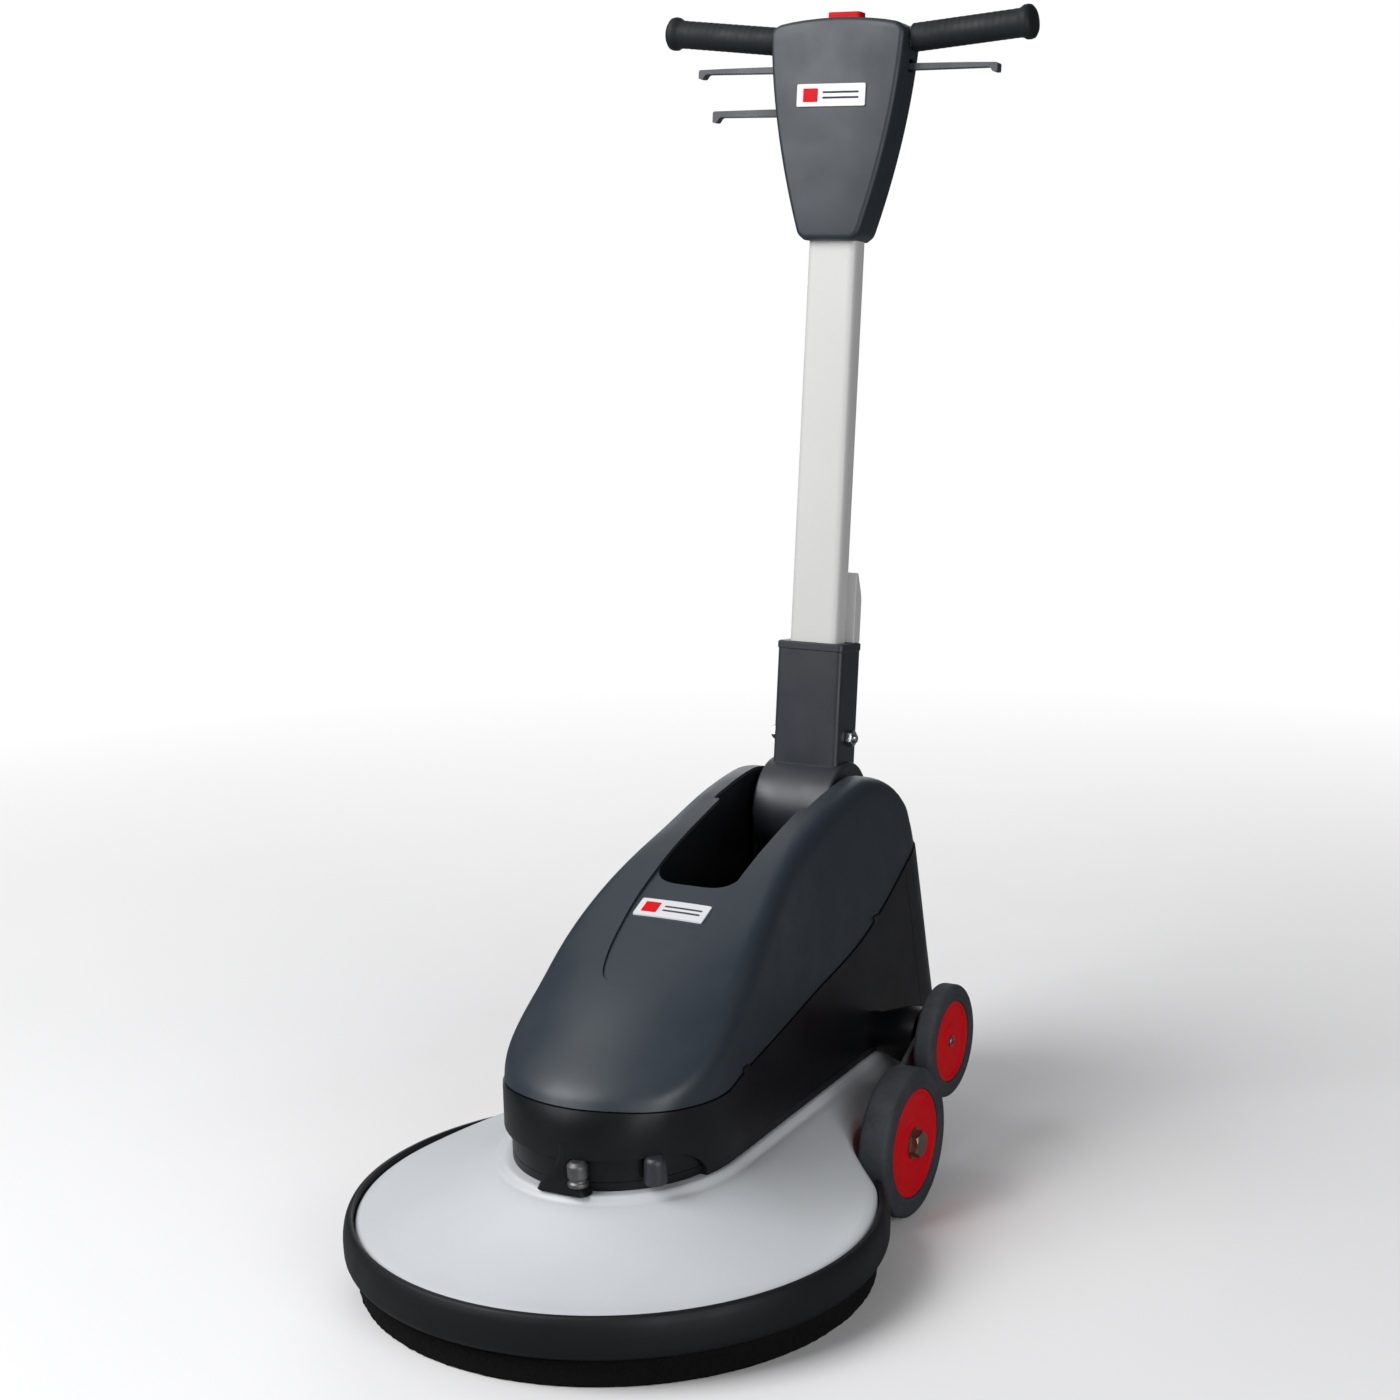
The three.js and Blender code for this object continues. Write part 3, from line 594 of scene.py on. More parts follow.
def body_ribs():
    """The foot of each rib on the middle line and its direction in plan, from nose to rear."""
    nose_turn = np.linspace(0, math.pi / 2, 30, endpoint=False)
    rear_turn = np.linspace(0, math.pi / 2, 22)
    ribs = [((0, 0), (math.sin(a), -math.cos(a))) for a in nose_turn]
    ribs += [((0, y), (1, 0)) for y in np.arange(0, LAST_RIB_FOOT, 9)]
    ribs += [((0, LAST_RIB_FOOT), (math.cos(a), math.sin(a))) for a in rear_turn]
    return ribs


def body_blank(inset, low=FLOOR_PLATE_TOP + GAP, crown=CROWN):
    """The whole body as one solid, moved in by an inset and cut off flat at the bottom."""
    angles = np.linspace(0, math.pi / 2, 150)
    ribs = body_ribs()
    feet = np.array([(*foot, low) for foot, direction in ribs])
    plans = np.array([direction for foot, direction in ribs])
    rays = np.zeros((len(feet), len(angles), 3))
    rays[..., :2] = plans[:, None, :] * np.cos(angles)[None, :, None]
    rays[..., 2] = np.sin(angles)
    near = np.zeros(rays.shape[:2])
    far = np.full(rays.shape[:2], 420.0)
    for _ in range(15):
        reach = (near + far) / 2
        outside = body_depth(feet[:, None, :] + rays * reach[..., None], crown) > -inset
        far = np.where(outside, reach, far)
        near = np.where(outside, near, reach)
    surface = feet[:, None, :] + rays * ((near + far) / 2)[..., None]
    rows = both_sides([evenly(rib, 58) for rib in surface])
    return grid(rows, wrap_rows=True, cap_columns=True)


def evenly(curve, count):
    """The curve with that many points, closer together where it bends."""
    steps = np.diff(curve, axis=0)
    lengths = np.linalg.norm(steps, axis=1)
    directions = steps / np.maximum(lengths, 1e-6)[:, None]
    turning = np.r_[0, np.linalg.norm(np.diff(directions, axis=0), axis=1)]
    travelled = np.r_[0, np.cumsum(lengths + 60 * turning)]
    wanted = np.linspace(0, travelled[-1], count)
    return np.array([np.interp(wanted, travelled, curve[:, k]) for k in range(3)]).T


def above_seam(lift):
    """The room above the seam under the hood."""
    line = [(y, z + lift) for y, z in SEAM]
    return prism(line + [(640, HIGHER), (-200, HIGHER)], *WIDER, "x")


def pocket_plan(wall, rear):
    """The pocket from above, wider at its rear, or the outside of a wall round it."""
    half, rear_half = POCKET_HALF + wall, POCKET_REAR_HALF + wall
    front, step = POCKET_FRONT - wall, POCKET_STEP - wall
    corners = [(rear_half, rear), (-rear_half, rear), (-rear_half, step), (-half, step),
               (-half, front), (half, front), (half, step), (rear_half, step)]
    front_corner = 34 + wall
    return rounded(corners, [0, 0, 2, 2, front_corner, front_corner, 2, 2], 8)


def pocket():
    """The room that the handle folds into, open at the top and at the rear."""
    return prism(pocket_plan(0, FURTHER), POCKET_FLOOR, HIGHER)


def tongue():
    """The shallow channel in the hood that runs forward from the pocket, seen from above."""
    side = [(50, 230), (49, 150), (45, 105), (38, 62), (28, 34)]
    tip = [(12, 23), (0, 21)]
    return both_sides(spline(side + tip, 6), starts_on_middle=False)


def channel_skin(height):
    """The body cut down to a height above the tongue's floor, which is flatter than the hood."""
    return body_blank(HOOD_INSET + TONGUE_DEPTH - height, crown=2 * CROWN)


def hood():
    outside = body_blank(HOOD_INSET)
    inside = body_blank(HOOD_INSET + BODY_WALL, 120)
    channel = cut(prism(tongue(), 200, 500), channel_skin(0))
    shell = kept(cut(outside, inside), above_seam(SEAM_GAP / 2))
    return cut(shell, channel, pocket())


def pocket_liner():
    """The black tray under the pocket's rim."""
    outside = prism(pocket_plan(BODY_WALL, POCKET_REAR), POCKET_FLOOR - BODY_WALL, 500)
    tray = cut(kept(outside, body_blank(HOOD_INSET + BODY_WALL + GAP)), pocket())
    for side, sign in SIDES:
        tray = cut(tray, block(span(sign, *BRACKET_SLOT), (424, 510), (250, POCKET_FLOOR + 1)))
    return tray


def lower_shell():
    return cut(body_blank(0), body_blank(BODY_WALL, 120), above_seam(-SEAM_GAP / 2), pocket())


def recess():
    """The opening under the band at the front, which slopes down to the deck on either side."""
    corners = [(-200, 90), (-200, RECESS_TOP), (-52, RECESS_TOP), (-32, 153), (-16, 138), (-8, 90)]
    side = rounded(corners, [0, 0, 14, 14, 8, 0], 6)
    return prism(side, *WIDER, "x")


def recess_wall():
    """The dark wall set back under the band."""
    wall = prism(footprint(RECESS_DEPTH), FLOOR_PLATE_TOP + GAP, RECESS_TOP + 6)
    room = prism(footprint(RECESS_DEPTH + 2), 100, 200)
    return cut(wall, room, block(WIDER, (10, FURTHER), (100, 200)))


def recess_lug():
    """The rib that carries the band down to the deck beside the knob."""
    rows = []
    for z, x, y, half_x, half_y in [(127.4, 5, -108, 29, 11), (134, 4, -107, 25, 11),
                                    (146, 3, -105, 12, 9), (160, 5, -104, 8, 8), (176, 6, -104, 7, 7)]:
        rows.append(ring(rectangle(half_x, half_y, half_y * 0.9, (x, y), 6), z))
    return loft(rows)


def floor_plate():
    """The body's foot, set back under the recess, with a hole for the motor."""
    ledge = cut(block(WIDER, (-200, -16), (100, 150)), prism(footprint(RECESS_DEPTH), 90, 160))
    plate = prism(footprint(0.5), PLATFORM + GAP, FLOOR_PLATE_TOP)
    return cut(plate, cylinder("z", FLOOR_PLATE_HOLE, 100, 150), ledge)


def build_body():
    piece("hood_shell", hood(), "chassis", "hood_plastic", ["hood"], bevel=0.9)
    piece("pocket_tray", pocket_liner(), "chassis", "black_plastic", bevel=0.6)
    shell = lower_shell()
    axle_hole = cylinder("x", 7.3, *WIDER, REAR_WHEEL["centre"])
    behind = block(WIDER, (REAR_COVER_FRONT, FURTHER), (0, HIGHER))
    front = cut(shell.copy(), behind, recess(), axle_hole)
    piece("lower_body_shell", front, "chassis", "black_plastic", ["lower_body"], bevel=1.1)
    ahead = block(WIDER, (-200, REAR_COVER_FRONT + 0.8), (0, HIGHER))
    liner_end = block((-70, 70), (400, POCKET_REAR + GAP), (POCKET_FLOOR - BODY_WALL - GAP, HIGHER))
    cover = cut(shell, ahead, liner_end)
    piece("rear_cover_shell", cover, "chassis", "black_plastic", ["rear_cover"], bevel=0.9)
    piece("recess_wall", recess_wall(), "chassis", "black_plastic", bevel=1.0)
    piece("recess_lug", recess_lug(), "chassis", "black_plastic")
    foot = FLOOR_PLATE_TOP + 0.4
    profile = [(0, foot), (10.5, foot), (10.5, 140), (8.5, 142), (8.5, 144), (10.5, 146), (10.5, 158),
               (7, 162), (0, 162)]
    knob = turned(profile, 1.2, 3, 28, "z", (22, -111, 0))
    piece("recess_knob", knob, "chassis", "cast_iron", crease=50)
    profile = [(0, foot), (12, foot), (11, 160), (8, 164), (0, 164)]
    boss = turned(profile, 2, 3, 28, "z", (88, -73, 0))
    piece("recess_boss", boss, "chassis", "cast_aluminium")
    piece("floor_plate_edge", floor_plate(), "chassis", "black_plastic", ["floor_plate"], bevel=0.4)


def clip_notches():
    """Two small clips along the seam on each side."""
    for side, sign in SIDES:
        for number, y in enumerate((62, 415)):
            z = float(np.interp(y, SEAM[:, 0], SEAM[:, 1]))
            x = surface_x(y, z)
            clip = prism(rectangle(6, 4.5, 1.5, (y, z)), *span(sign, x - 3, x + 0.9), "x")
            piece(f"seam_clip_{side}_{number}", clip, "chassis", "black_plastic", bevel=0.6)


def surface_x(y, z):
    """How far out the body's right side is at that place."""
    across = np.linspace(40, 130, 400)
    points = np.stack([across, np.full(400, float(y)), np.full(400, float(z))], axis=-1)
    return float(across[body_depth(points) < 0][-1])


# ---- deck, bumper and pad ----
def footprint(inset):
    """The body's outline on the deck, anticlockwise from the nose."""
    angles = np.linspace(0, math.pi / 2, 40, endpoint=False)
    wide, deep, reach = BODY_HALF - inset, NOSE_DEPTH - inset, REAR_CORNER - inset
    corner_x, corner_y = BODY_HALF - REAR_CORNER, BODY_REAR - REAR_CORNER
    half = [(wide * math.sin(a), NOSE_CENTRE - deep * math.cos(a)) for a in angles]
    half += [(wide, y) for y in np.linspace(NOSE_CENTRE, corner_y, 40)]
    half += [(corner_x + reach * math.cos(a), corner_y + reach * math.sin(a)) for a in angles[1:]]
    half.append((0, BODY_REAR - inset))
    return both_sides(half)


def deck_edge():
    """The deck's right edge in plan, from the front of the disc to the middle of the tail's end."""
    reach = DECK_RADIUS - 0.6
    angles = np.linspace(-math.pi / 2, math.radians(22.8), 90)
    points = [(reach * math.cos(a), reach * math.sin(a)) for a in angles]
    sweep = [points[-1], (232, 132), (206, 158), (184, 182), (172, 212), (171, 260), (173, 330),
             (TAIL_HALF, 420)]
    corners = [(TAIL_HALF, 425), (TAIL_HALF, TAIL_REAR), (100, TAIL_REAR)]
    points += [*spline(sweep, 9)[1:], *rounded(corners, 45, 8, closed=False)]
    points += [(x, TAIL_REAR) for x in (75, 50, 25, 0)]
    return np.array(points)


SLOPE = spline([(-20, PLATFORM), (0, PLATFORM), (3, 126.8), (5, 125), (7, 121.4), (9, 119.4),
                (12, 118.9), (17, 117.6), (35, 109), (60, 97), (82, 88.2), (105, 81), (130, 74.8),
                (145, 72.6), (160, 71)], 8)


def deck_height(distance):
    """Height of the deck's top by how far it is from the body's foot."""
    return float(np.interp(distance, SLOPE[:, 0], SLOPE[:, 1]))


def deck_rib(edge, foot):
    """One loop across the deck: out over the top, down the skirt and back underneath."""
    run = float(np.linalg.norm(edge - foot))
    direction = (edge - foot) / max(run, 1e-6)
    near = min(1, run / 40)
    bottom = DECK_BOTTOM + (TAIL_BOTTOM - DECK_BOTTOM) * float(smooth_step(edge[1], 95, 125))
    centre = np.array([0, np.clip(foot[1], 0, TAIL_REAR - 60)])
    spots = [near * d for d in (0, 2, 3.5, 5, 6, 7, 8, 9.5, 12, 17)]
    spots += list(np.linspace(17 * near, max(run - 6, 17 * near), 16)[1:])
    rim = deck_height(run)
    top = [(centre, PLATFORM)]
    top += [(foot + direction * d, deck_height(d)) for d in spots]
    for inset, drop in ((3.5, 0.6), (1.6, 2), (0.6, 4)):
        top.append((foot + direction * max(run - inset, 0), rim - drop))
    under = [(foot + direction * max(run - DECK_WALL - 1, 0), level) for level in (bottom, rim - 9)]
    under += [(foot + direction * d, deck_height(d) - DECK_WALL) for d in spots[-2::-2]]
    under.append((centre, PLATFORM - DECK_WALL))
    loop = top + [(edge, rim - 7), (edge, bottom)] + under
    return [(point[0], point[1], level) for point, level in loop]


def deck():
    foot_line = footprint(0)
    ribs = []
    for edge in deck_edge():
        nearest = foot_line[np.argmin(np.linalg.norm(foot_line - edge, axis=1))]
        inside = abs(edge[0]) <= BODY_HALF and edge[1] > NOSE_CENTRE
        ribs.append(deck_rib(edge, edge if inside else nearest))
    return cut(grid(both_sides(ribs), wrap_rows=True), cylinder("z", DECK_HOLE, 90, 150, segments=64))


def bumper():
    """The ring round the disc, with a lip under it, open where the tail leaves the disc."""
    inner = DECK_RADIUS + GAP
    lip = DECK_BOTTOM - GAP
    corners = [(inner, lip)]
    for inset, z in ((22, lip), (22, 31.5), (6, 31.5), (0.6, 38), (0, 48), (0, 58), (2, 69), (5.5, 75.6),
                     (10, 76)):
        corners.append((BUMPER_RADIUS - inset, z))
    corners.append((inner, 74.5))
    whole = turned(corners, [0, 0.5, 0.5, 4, 5, 6, 8, 7, 3, 0.6, 0.3], 5, 180)
    return cut(whole, block((-400, 400), (154, 400), (-50, 300)))


def pad():
    """The pad's fibres leave its edge a little uneven."""
    levels = [(43, 0.5), (60, 0), (PAD_RADIUS - 3, 0), (PAD_RADIUS - 0.8, 1.2)]
    levels += [(PAD_RADIUS, z) for z in range(4, 26, 3)]
    levels += [(PAD_RADIUS - 0.6, PAD_HEIGHT - 1.5), (PAD_RADIUS - 3, PAD_HEIGHT), (60, PAD_HEIGHT),
               (43, PAD_HEIGHT - 0.5)]
    rows = []
    for angle in around(420):
        row = []
        for radius, height in levels:
            if radius > PAD_RADIUS - 4 and 0 < height < PAD_HEIGHT:
                radius += random.uniform(-1.1, 0.2)
            row.append((radius * math.cos(angle), radius * math.sin(angle), height))
        rows.append(row)
    return grid(rows, wrap_rows=True, wrap_columns=True)


def build_deck():
    piece("deck_skin", deck(), "chassis", "silver_paint", ["deck_housing"], crease=50)
    piece("bumper_ring", bumper(), "chassis", "bumper_plastic", ["bumper"], bevel=1.2)
    piece("pad_disc", pad(), "pad_drive", "pad_fibre", ["pad"], crease=60)
    lock = [(0, 6), (34, 6), (40, 12), (40, 30), (29, 30), (29, 44.2), (0, 44.2)]
    knob = turned(lock, 2, 4, 64)
    for x, y in hexagon(40):
        knob = cut(knob, cylinder("z", 7, 2, 9, (x, y, 0), 24))
    piece("pad_lock_knob", knob, "pad_drive", "red_plastic", ["pad_lock"], bevel=0.8)


# ---- wheels ----
def build_wheel(name, spec, side, sign):
    radius, hub, inner, outer = spec["radius"], spec["hub"], spec["inner"], spec["outer"]
    centre, bore = spec["centre"], spec["bore"]
    body = f"{name}_wheel_{side}"
    corners = [(hub, inner + 2), (radius - 6, inner), (radius, inner + 3), (radius, outer - 3),
               (radius - 6, outer), (hub + 7, outer - 0.2), (hub + 6, outer - 1.2), (hub, outer - 1)]
    tyre = turned(corners, [0.5, 4, 7, 7, 4, 1, 1, 0.5], 6, 110, "x", centre, sign)
    piece(f"{name}_tread_{side}", tyre, body, "tyre_rubber", [f"{name}_tyre_{side}"])
    face, back, rim = outer - 2, CARRIER_OUTER + GAP, hub - GAP
    corners = [(bore, back), (bore + 7, back), (bore + 7, inner + 4), (rim, inner + 4), (rim, face),
               (hub - 4, face), (hub - 6, face - 1.8), (bore + 16, face - 2.8),
               (bore + 12, face - 1.4), (bore, face - 1.4)]
    disc = turned(corners, [0, 0, 1, 1, 1.2, 1, 1.4, 3, 1.5, 0], 6, 110, "x", centre, sign)
    piece(f"{name}_disc_{side}", disc, body, "red_plastic", [f"{name}_hub_{side}"])


def hexagon(radius, turn=0.0):
    return [(radius * math.cos(a + turn), radius * math.sin(a + turn)) for a in around(6)]


def hex_head(radius, start, end, axis, centre, turn=0.3):
    """A six-sided head or nut whose far corners are turned off."""
    wide = radius * 1.1
    slant = math.copysign(radius * 0.28, end - start)
    dome = [(0, start), (wide, start), (wide, end - slant), (radius * 0.87, end), (0, end)]
    head = kept(prism(hexagon(radius, turn), start, end, axis), lathe(dome, 40, axis))
    head.transform(Matrix.Translation(centre))
    return head


def build_axle_ends(side, sign):
    start, centre = MAIN_WHEEL["outer"] - 4 + GAP, MAIN_WHEEL["centre"]
    washer = cylinder("x", 16.5, *span(sign, start, start + 2.2), centre)
    nut = hex_head(15, sign * (start + 2), sign * (start + 10), "x", centre)
    cap = joined(washer, nut)
    piece(f"axle_nut_{side}", cap, "chassis", "bare_aluminium", [f"axle_cap_{side}"], bevel=0.5)
    face = REAR_WHEEL["outer"] - 2
    middle_x, y, z = REAR_WHEEL["centre"]
    profile = [(0, face - 3), (5.5, face - 3), (5.5, face), (3.5, face + 1.6), (0, face + 1.8)]
    screw = turned(profile, 0.8, 4, 32, "x", (middle_x, y, z), sign)
    groove = block(span(sign, face + 0.6, face + 4), (y - 6, y + 6), (z - 0.6, z + 0.6))
    piece(f"rear_axle_screw_{side}", cut(screw, groove), "chassis", "bare_aluminium")


def build_wheels():
    bell = [(6.4, 100), (21, 100), (21, 126), (33, 160), (33, 177), (29, 177), (29, 162), (6.4, 130)]
    bell_radii = [0, 0, 6, 8, 1, 1, 4, 0]
    for side, sign in SIDES:
        housing = turned(bell, bell_radii, 5, 48, "x", REAR_WHEEL["centre"], sign)
        piece(f"rear_axle_housing_{side}", housing, "chassis", "black_plastic")
        build_wheel("main", MAIN_WHEEL, side, sign)
        build_wheel("rear", REAR_WHEEL, side, sign)
        build_axle_ends(side, sign)


# ---- handle ----
def yoke():
    corners = [(0, -DRUM_HALF), (DRUM_RADIUS, -DRUM_HALF), (DRUM_RADIUS, DRUM_HALF), (0, DRUM_HALF)]
    drum = turned(corners, 4, 6, 96, "x")
    centre = (0, (SOCKET_FRONT + SOCKET_REAR) / 2)
    deep = (SOCKET_REAR - SOCKET_FRONT) / 2
    rows = []
    for z, inset in [(10, 0.8), (62, 0.8), (183, 0.8), (184, 0), (SOCKET_TOP - 1.2, 0), (SOCKET_TOP, 1.2)]:
        rows.append(ring(rectangle(SOCKET_HALF - inset, deep - inset, 7, centre, 6), z))
    shoe_hole = block((-6.5, 6.5), (-8.5, 6.5), (28, TUBE_BOTTOM + 1))
    shaft_hole = cylinder("x", SHAFT_RADIUS + GAP, -80, 80)
    brake_space = cylinder("x", 36, -7, 7)
    casting = cut(joined(drum, loft(rows)), tube_space(TUBE_BOTTOM - GAP, 300), shoe_hole)
    return cut(casting, shaft_hole, brake_space, bolt_hole())


def tube_space(low, high):
    """The room that the tube takes up in the pieces it is pushed into."""
    return block((-TUBE_HALF - GAP, TUBE_HALF + GAP), (TUBE_FRONT - GAP, TUBE_REAR + GAP), (low, high))


def bolt_hole():
    return cylinder("x", 4.8, -60, 60, BOLT_CENTRE, 24)


def tube():
    centre = (0, (TUBE_FRONT + TUBE_REAR) / 2)
    deep = (TUBE_REAR - TUBE_FRONT) / 2
    outside = prism(rectangle(TUBE_HALF, deep, 9, centre, 8), TUBE_BOTTOM, TUBE_TOP)
    bore = rectangle(TUBE_HALF - TUBE_WALL, deep - TUBE_WALL, 6, centre, 8)
    return cut(outside, prism(bore, TUBE_BOTTOM - 1, TUBE_TOP + 1), bolt_hole())


def latch():
    """The cover behind the foot of the tube, cut off at a slant at its top."""
    back = TUBE_REAR + GAP
    start = SOCKET_TOP + GAP
    corners = [(back, start), (30, start), (30, start + 52), (18, start + 80), (back, start + 80)]
    return prism(rounded(corners, [0, 1, 8, 2, 0], 5), -38, 38, "x")


def build_bolt():
    reach = SOCKET_HALF + GAP
    head = hex_head(9, -reach, -reach - 11, "x", BOLT_CENTRE)
    bolt = joined(head, cylinder("x", 4.5, -reach - 1, reach + 10, BOLT_CENTRE, 28))
    piece("tube_bolt_head", bolt, "handle", "zinc_steel", ["tube_bolt"], bevel=0.4)
    nut = hex_head(9.5, reach, reach + 7, "x", BOLT_CENTRE)
    nut = cut(nut, cylinder("x", 4.9, 0, 80, BOLT_CENTRE, 28))
    piece("tube_bolt_hex_nut", nut, "handle", "zinc_steel", ["tube_bolt_nut"], bevel=0.4)


def head_outline():
    """The head from the front: narrow at its foot, swept out to its shoulders and slightly arched."""
    pull = np.array([(38, HEAD_BOTTOM + 6), (58, HEAD_BOTTOM + 66), (78, HEAD_TOP - 92),
                     (82, HEAD_TOP - 8)])
    sweep = []
    for t in np.linspace(0, 1, 24):
        sweep.append(((1 - t) ** 3, 3 * t * (1 - t) ** 2, 3 * t * t * (1 - t), t**3) @ pull)
    arch = [(74, HEAD_TOP), (56, 885.2), (40, 887), (20, 888.4), (0, HEAD_CROWN)]
    outline = both_sides([(30, HEAD_BOTTOM), *sweep, *arch], starts_on_middle=False)
    radii = np.zeros(len(outline))
    shoulder = len(sweep)
    for corner in (1, shoulder, shoulder + 1):
        radii[[corner, -1 - corner]] = 6
    return rounded(outline, radii, 4)


def head_half(front, back, wall, edge):
    """One moulded half of the head. front is its show face, and back is the split plane."""
    toward = 1 if back > front else -1
    outline = head_outline()

    def shell(inset, start, end, radius):
        rows = [ring(offset(outline, inset), end, "y")]
        for angle in np.linspace(0, math.pi / 2, 6):
            draw = radius * (1 - math.cos(angle))
            depth = start + toward * radius * (1 - math.sin(angle))
            rows.append(ring(offset(outline, inset + draw), depth, "y"))
        return loft(rows)

    solid = shell(0, front, back, edge)
    hollow = shell(wall, front + toward * wall, back + toward, max(edge - wall, 1))
    return cut(solid, hollow)


def bar_centre(x):
    """Height of the handlebar's middle at a distance from the middle line."""
    rise = math.tan(GRIP_RISE)
    low = GRIP_HEIGHT - GRIP_START * rise
    return low + rise * (abs(x) if abs(x) > 40 else (x * x / 40 + 40) / 2)


def bar(radius):
    """The bar that runs from grip to grip, bent up at each side."""
    circle = around(32)
    across = BAR_OFFSET + radius * np.cos(circle)
    rows = []
    for x in np.linspace(-GRIP_START - 125, GRIP_START + 125, 61):
        rows.append(np.c_[np.full(32, x), across, bar_centre(x) + radius * np.sin(circle)])
    return loft(rows)


def head_cuts():
    """The room for the tube, button, cable and bar, and the slots that the levers come out of."""
    button_space = block((-20.5, 20.5), (-14, 5), (HEAD_CROWN - 12, HEAD_CROWN + 20))
    release_slot = block((-100, -20), (-5.8, 5.8), (RELEASE_HEIGHT - 9, RELEASE_HEIGHT + 24))
    cable_hole = cylinder("y", 5, 0, 60, (0, 0, GLAND_HEIGHT), 24)
    foot = tube_space(HEAD_BOTTOM - 20, HEAD_BOTTOM + 30)
    cuts = [foot, button_space, release_slot, cable_hole, bar(11.5)]
    for side, sign in SIDES:
        cuts.append(block(span(sign, 40, 100), (-6.8, 6.8), (SWITCH_HEIGHT - 5.5, SWITCH_HEIGHT + 8)))
    return cuts


def lever(pivot, height, tip, depth, thickness, hook):
    """A slim finger lever with a turned-down tip."""
    sign = 1 if tip > pivot else -1
    reach = abs(tip - pivot)
    half = thickness / 2
    corners = [(-4, -half), (reach * 0.6, -half + 0.8), (reach - 9, -half + 1.2),
               (reach - 5.5, -half - hook), (reach, -half - hook), (reach, half - 1.6),
               (reach * 0.7, half - 0.8), (-4, half)]
    corners = [(pivot + sign * x, height + z) for x, z in corners]
    finger = prism(rounded(corners, [2, 20, 3, 1.5, 1.5, 2.4, 20, 2], 5), -depth, depth, "y")
    boss = cylinder("y", 8, -depth, depth, (pivot, 0, height), 36)
    return cut(joined(finger, boss), cylinder("y", 3.3, -20, 20, (pivot, 0, height), 24))


def grip():
    """A rubber sleeve along z with faint ribs and an end flange."""
    length = GRIP_LENGTH
    rib_wave = 2 * math.pi / 8
    profile = [(0, length - 4), (11.3, length - 4), (11.3, 0), (15.4, 0), (GRIP_RADIUS, 1)]
    for z in np.arange(4, length - 16, 1.0):
        profile.append((GRIP_RADIUS - 0.1 + 0.1 * math.cos(rib_wave * z), z))
    flange = [(GRIP_RADIUS, -13), (16.6, -10), (18.6, -7), (FLANGE_RADIUS, -3), (18.2, 0.5), (15, 3),
              (8, 4), (0, 4)]
    return profile + [(radius, length + z) for radius, z in flange]


def build_grips():
    for side, sign in SIDES:
        mesh = lathe(grip(), 48)
        turn = Matrix.Rotation(sign * (math.pi / 2 - GRIP_RISE), 4, "Y")
        mesh.transform(Matrix.Translation((sign * GRIP_START, BAR_OFFSET, GRIP_HEIGHT)) @ turn)
        piece(f"grip_sleeve_{side}", mesh, "handle", "grip_rubber", [f"grip_{side}"], crease=50)


def badge_marks(centre):
    """The outlines of a generic mark with no lettering: a red bar and two thin grey lines."""
    a, b = centre
    return [("bar", "red_plastic", rectangle(9, 7.5, 1.2, (a - 25, b))),
            ("line_high", "tyre_rubber", rectangle(22, 1.1, 0.8, (a + 12, b + 3))),
            ("line_low", "tyre_rubber", rectangle(22, 1.1, 0.8, (a + 12, b - 3)))]


def build_head():
    for name, front, back, nodes in [("head_front_half", HEAD_FRONT, HEAD_SPLIT, ["head_front"]),
                                     ("head_rear_half", HEAD_REAR, HEAD_SPLIT + GAP, ["head_rear"])]:
        half = cut(head_half(front, back, HEAD_WALL, 6 if front < 0 else 4), *head_cuts())
        piece(name, half, "handle", "hood_plastic", nodes, crease=40)
    build_head_badge()
    piece("cable_gland_sleeve", cable_gland(), "handle", "black_plastic", ["cable_gland"], crease=40)
    screw = turned([(0, 0), (3.6, 0), (3.6, 1.2), (2.4, 2), (0, 2.1)], 0.5, 3, 24)
    screw.transform(Matrix.Rotation(-math.pi / 2, 4, "X"))
    for number, (x, z) in enumerate([(-30, 670), (30, 670), (-62, 850), (62, 850)]):
        fixed = screw.copy()
        fixed.transform(Matrix.Translation((x, HEAD_REAR, z)))
        piece(f"head_screw_{number}", fixed, "handle", "zinc_steel")


def build_head_badge():
    back = HEAD_FRONT - GAP
    face = back - 1.5
    plate = prism(rectangle(42, 12.5, 2, HEAD_BADGE_CENTRE), face, back, "y")
    piece("head_badge_plate", plate, "handle", "badge_white", ["head_badge"], bevel=0.4)
    for part, slot, outline in badge_marks(HEAD_BADGE_CENTRE):
        mark = prism(outline, face - 0.3, face - 0.02, "y")
        piece(f"head_badge_{part}", mark, "handle", slot, bevel=0.15)


def cable_gland():
    """The gland's nut and its ribbed sleeve, which gets slightly thinner towards its end."""
    profile = [(5, 17.8), (12, 17.8), (12, 24), (9.4, 26)]
    for i in range(14):
        rib = 0.9 if i % 4 < 2 else 0
        profile.append((8.4 - 0.05 * i + rib, 27 + 0.9 * i))
    profile += [(6.5, 39.5), (5, 39.5)]
    return lathe(profile, 36, "y", (0, 0, GLAND_HEIGHT))


def build_controls():
    for side, sign in SIDES:
        body = f"switch_lever_{side}"
        mesh = lever(sign * SWITCH_PIVOT, SWITCH_HEIGHT, sign * SWITCH_TIP, 6, 7.4, 4.2)
        piece(f"{body}_bar", mesh, body, "lever_plastic", [body], bevel=1.2)
    body = "release_lever"
    mesh = lever(RELEASE_PIVOT, RELEASE_HEIGHT, RELEASE_TIP, 5, 9.5, 4.8)
    piece(f"{body}_bar", mesh, body, "lever_plastic", [body], bevel=1.2)
    body = "safety_button"
    piece(f"{body}_cap", button(), body, "red_plastic", [body], bevel=1.4)


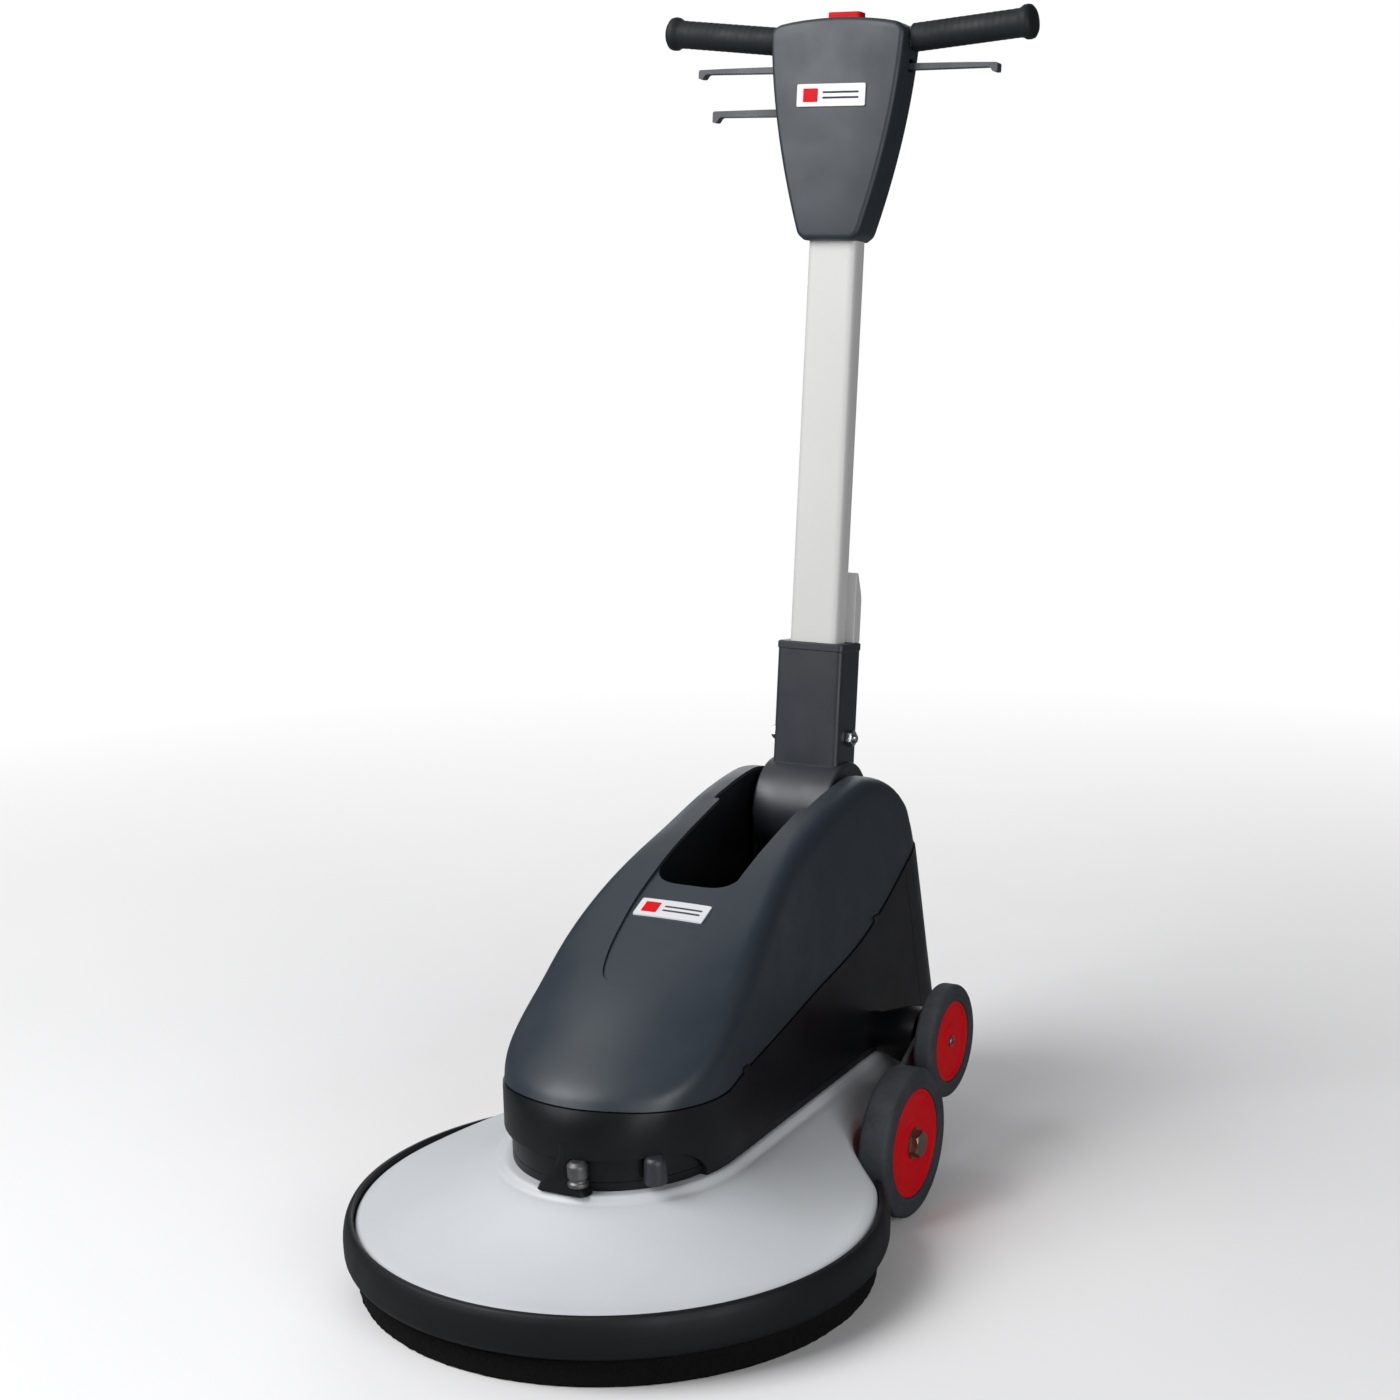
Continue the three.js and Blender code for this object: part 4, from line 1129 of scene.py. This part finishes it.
def button():
    """The red button with a flange that keeps it in the head and a dimple in its top."""
    middle_y = -4.5
    cap = prism(rectangle(20, 9, 5, (0, middle_y)), 880, 896.7)
    flange = prism(rectangle(24, 10.5, 3, (0, middle_y)), 878, 881)
    dimple = lathe([(0, 895.9), (6, 895.9), (7.5, 897.5), (0, 897.5)], 36, "z", (0, middle_y, 0))
    return cut(joined(cap, flange), dimple)


def build_handle():
    piece("handle_yoke_casting", yoke(), "handle", "cast_aluminium", ["handle_yoke"], bevel=0.7)
    piece("handle_tube_skin", tube(), "handle", "tube_paint", ["handle_tube"])
    piece("latch_cover", latch(), "handle", "tube_paint", ["latch_housing"], bevel=2.2)
    build_bolt()
    build_head()
    build_grips()
    build_controls()


def build_hood_badge():
    """A thin plate that follows the tongue's floor, with its generic mark."""
    layer = cut(channel_skin(1.6), channel_skin(0.2))
    plate = kept(prism(rectangle(41, 12.5, 2, HOOD_BADGE_CENTRE), 300, 400), layer)
    piece("hood_badge_plate", plate, "chassis", "badge_white", ["hood_badge"], bevel=0.3)
    thin = cut(channel_skin(1.9), channel_skin(1.62))
    for part, slot, outline in badge_marks(HOOD_BADGE_CENTRE):
        mark = kept(prism(outline, 300, 400), thin.copy())
        piece(f"hood_badge_{part}", mark, "chassis", slot, bevel=0.15)


build_deck()
build_body()
clip_notches()
build_hood_badge()
build_wheels()
build_handle()

# ---- CAD nodes that keep their shape ----
slot_of = {part["node"]: part["material_slot"] for part in frame["record"]["subparts"]}
for name, node in frame["nodes"].items():
    for material_slot in node.material_slots:
        material_slot.material = FINISHES[slot_of[name]]
    round_edges(node, 0.6, 2)

# ---- studio ----
bpy.context.scene.view_settings.view_transform = "Standard"


def studio_floor():
    """A plain pale floor that brightens to plain white far from the machine.

    It throws less light up onto the machine than so pale a floor would.
    """
    made = Finish((238, 238, 239))
    made.tint(made.spread(made.noise(2.0, 3.0), 0.0, 0.4), (232, 232, 233))
    seen_directly = made.node("ShaderNodeLightPath").outputs["Is Camera Ray"]
    made.tint(made.spread(seen_directly, 1.0, 0.0, 0.0, 1.0), (145, 146, 148))
    made.roughness(made.spread(made.noise(8.0, 3.0), 0.6, 0.7))
    distance = made.node("ShaderNodeVectorMath", operation="LENGTH")
    made.link(made.place, distance.inputs[0])
    far = made.spread(distance.outputs["Value"], 0.0, 1.0, 0.6, 2.6)
    seen = made.node("ShaderNodeMath", operation="MULTIPLY")
    made.link(far, seen.inputs[0])
    made.link(seen_directly, seen.inputs[1])
    glow = made.node("ShaderNodeEmission")
    mixed = made.node("ShaderNodeMixShader")
    made.link(seen.outputs["Value"], mixed.inputs[0])
    made.link(made.shader.outputs["BSDF"], mixed.inputs[1])
    made.link(glow.outputs["Emission"], mixed.inputs[2])
    output = made.tree.nodes["Material Output"]
    made.link(mixed.outputs["Shader"], output.inputs["Surface"])
    mesh = grid([[(x, y, 0) for x in (-60, 60)] for y in (-60, 60)])
    mesh.materials.append(made.material)
    floor = placed("floor", mesh)


def studio_world():
    """White behind the machine, and a dimmer sky that fills its shadows."""
    world = bpy.data.worlds.new("studio")
    world.use_nodes = True
    bpy.context.scene.world = world
    nodes, links = world.node_tree.nodes, world.node_tree.links
    fill = nodes["Background"]
    set_inputs(fill, {"Color": (0.93, 0.95, 1, 1), "Strength": 0.1})
    seen = nodes.new("ShaderNodeBackground")
    set_inputs(seen, {"Color": (1, 1, 1, 1)})
    either = nodes.new("ShaderNodeMixShader")
    links.new(nodes.new("ShaderNodeLightPath").outputs["Is Camera Ray"], either.inputs[0])
    links.new(fill.outputs["Background"], either.inputs[1])
    links.new(seen.outputs["Background"], either.inputs[2])
    links.new(either.outputs["Shader"], nodes["World Output"].inputs["Surface"])


def softbox(name, place, aim, size, power):
    data = bpy.data.lights.new(name, "AREA")
    data.shape = "RECTANGLE"
    data.size, data.size_y = size
    data.energy = power
    lamp = placed(name, data)
    lamp.location = place
    lamp.rotation_euler = (Vector(aim) - Vector(place)).to_track_quat("-Z", "Y").to_euler()


studio_floor()
studio_world()
softbox("key", (-1.7, -2.1, 2.7), (0, 0, 0.4), (2.4, 2.4), 138)
softbox("overhead", (-1.3, 0.3, 3.0), (0, 0, 0.2), (2.4, 2.4), 12)
softbox("back_fill", (-1.5, 3.2, 1.6), (0, 0.2, 0.4), (2.2, 2.2), 30)
softbox("side_fill", (2.9, -1.9, 1.3), (0, 0, 0.4), (2.2, 2.2), 62)

# ---- camera: a little above the deck, off the machine's front right corner ----
camera_data = bpy.data.cameras.new("camera")
camera_data.sensor_width = 36
camera_data.lens = 68.68
camera = placed("camera", camera_data)
heading, pitch, roll = 28.35, -12.87, -1.41
camera_matrix = Matrix.Translation((1.30048, -2.37030, 1.18143))
for axis, degrees in (("Z", heading), ("X", 90 + pitch), ("Z", roll)):
    camera_matrix @= Matrix.Rotation(math.radians(degrees), 4, axis)
camera.matrix_world = camera_matrix
bpy.context.scene.camera = camera
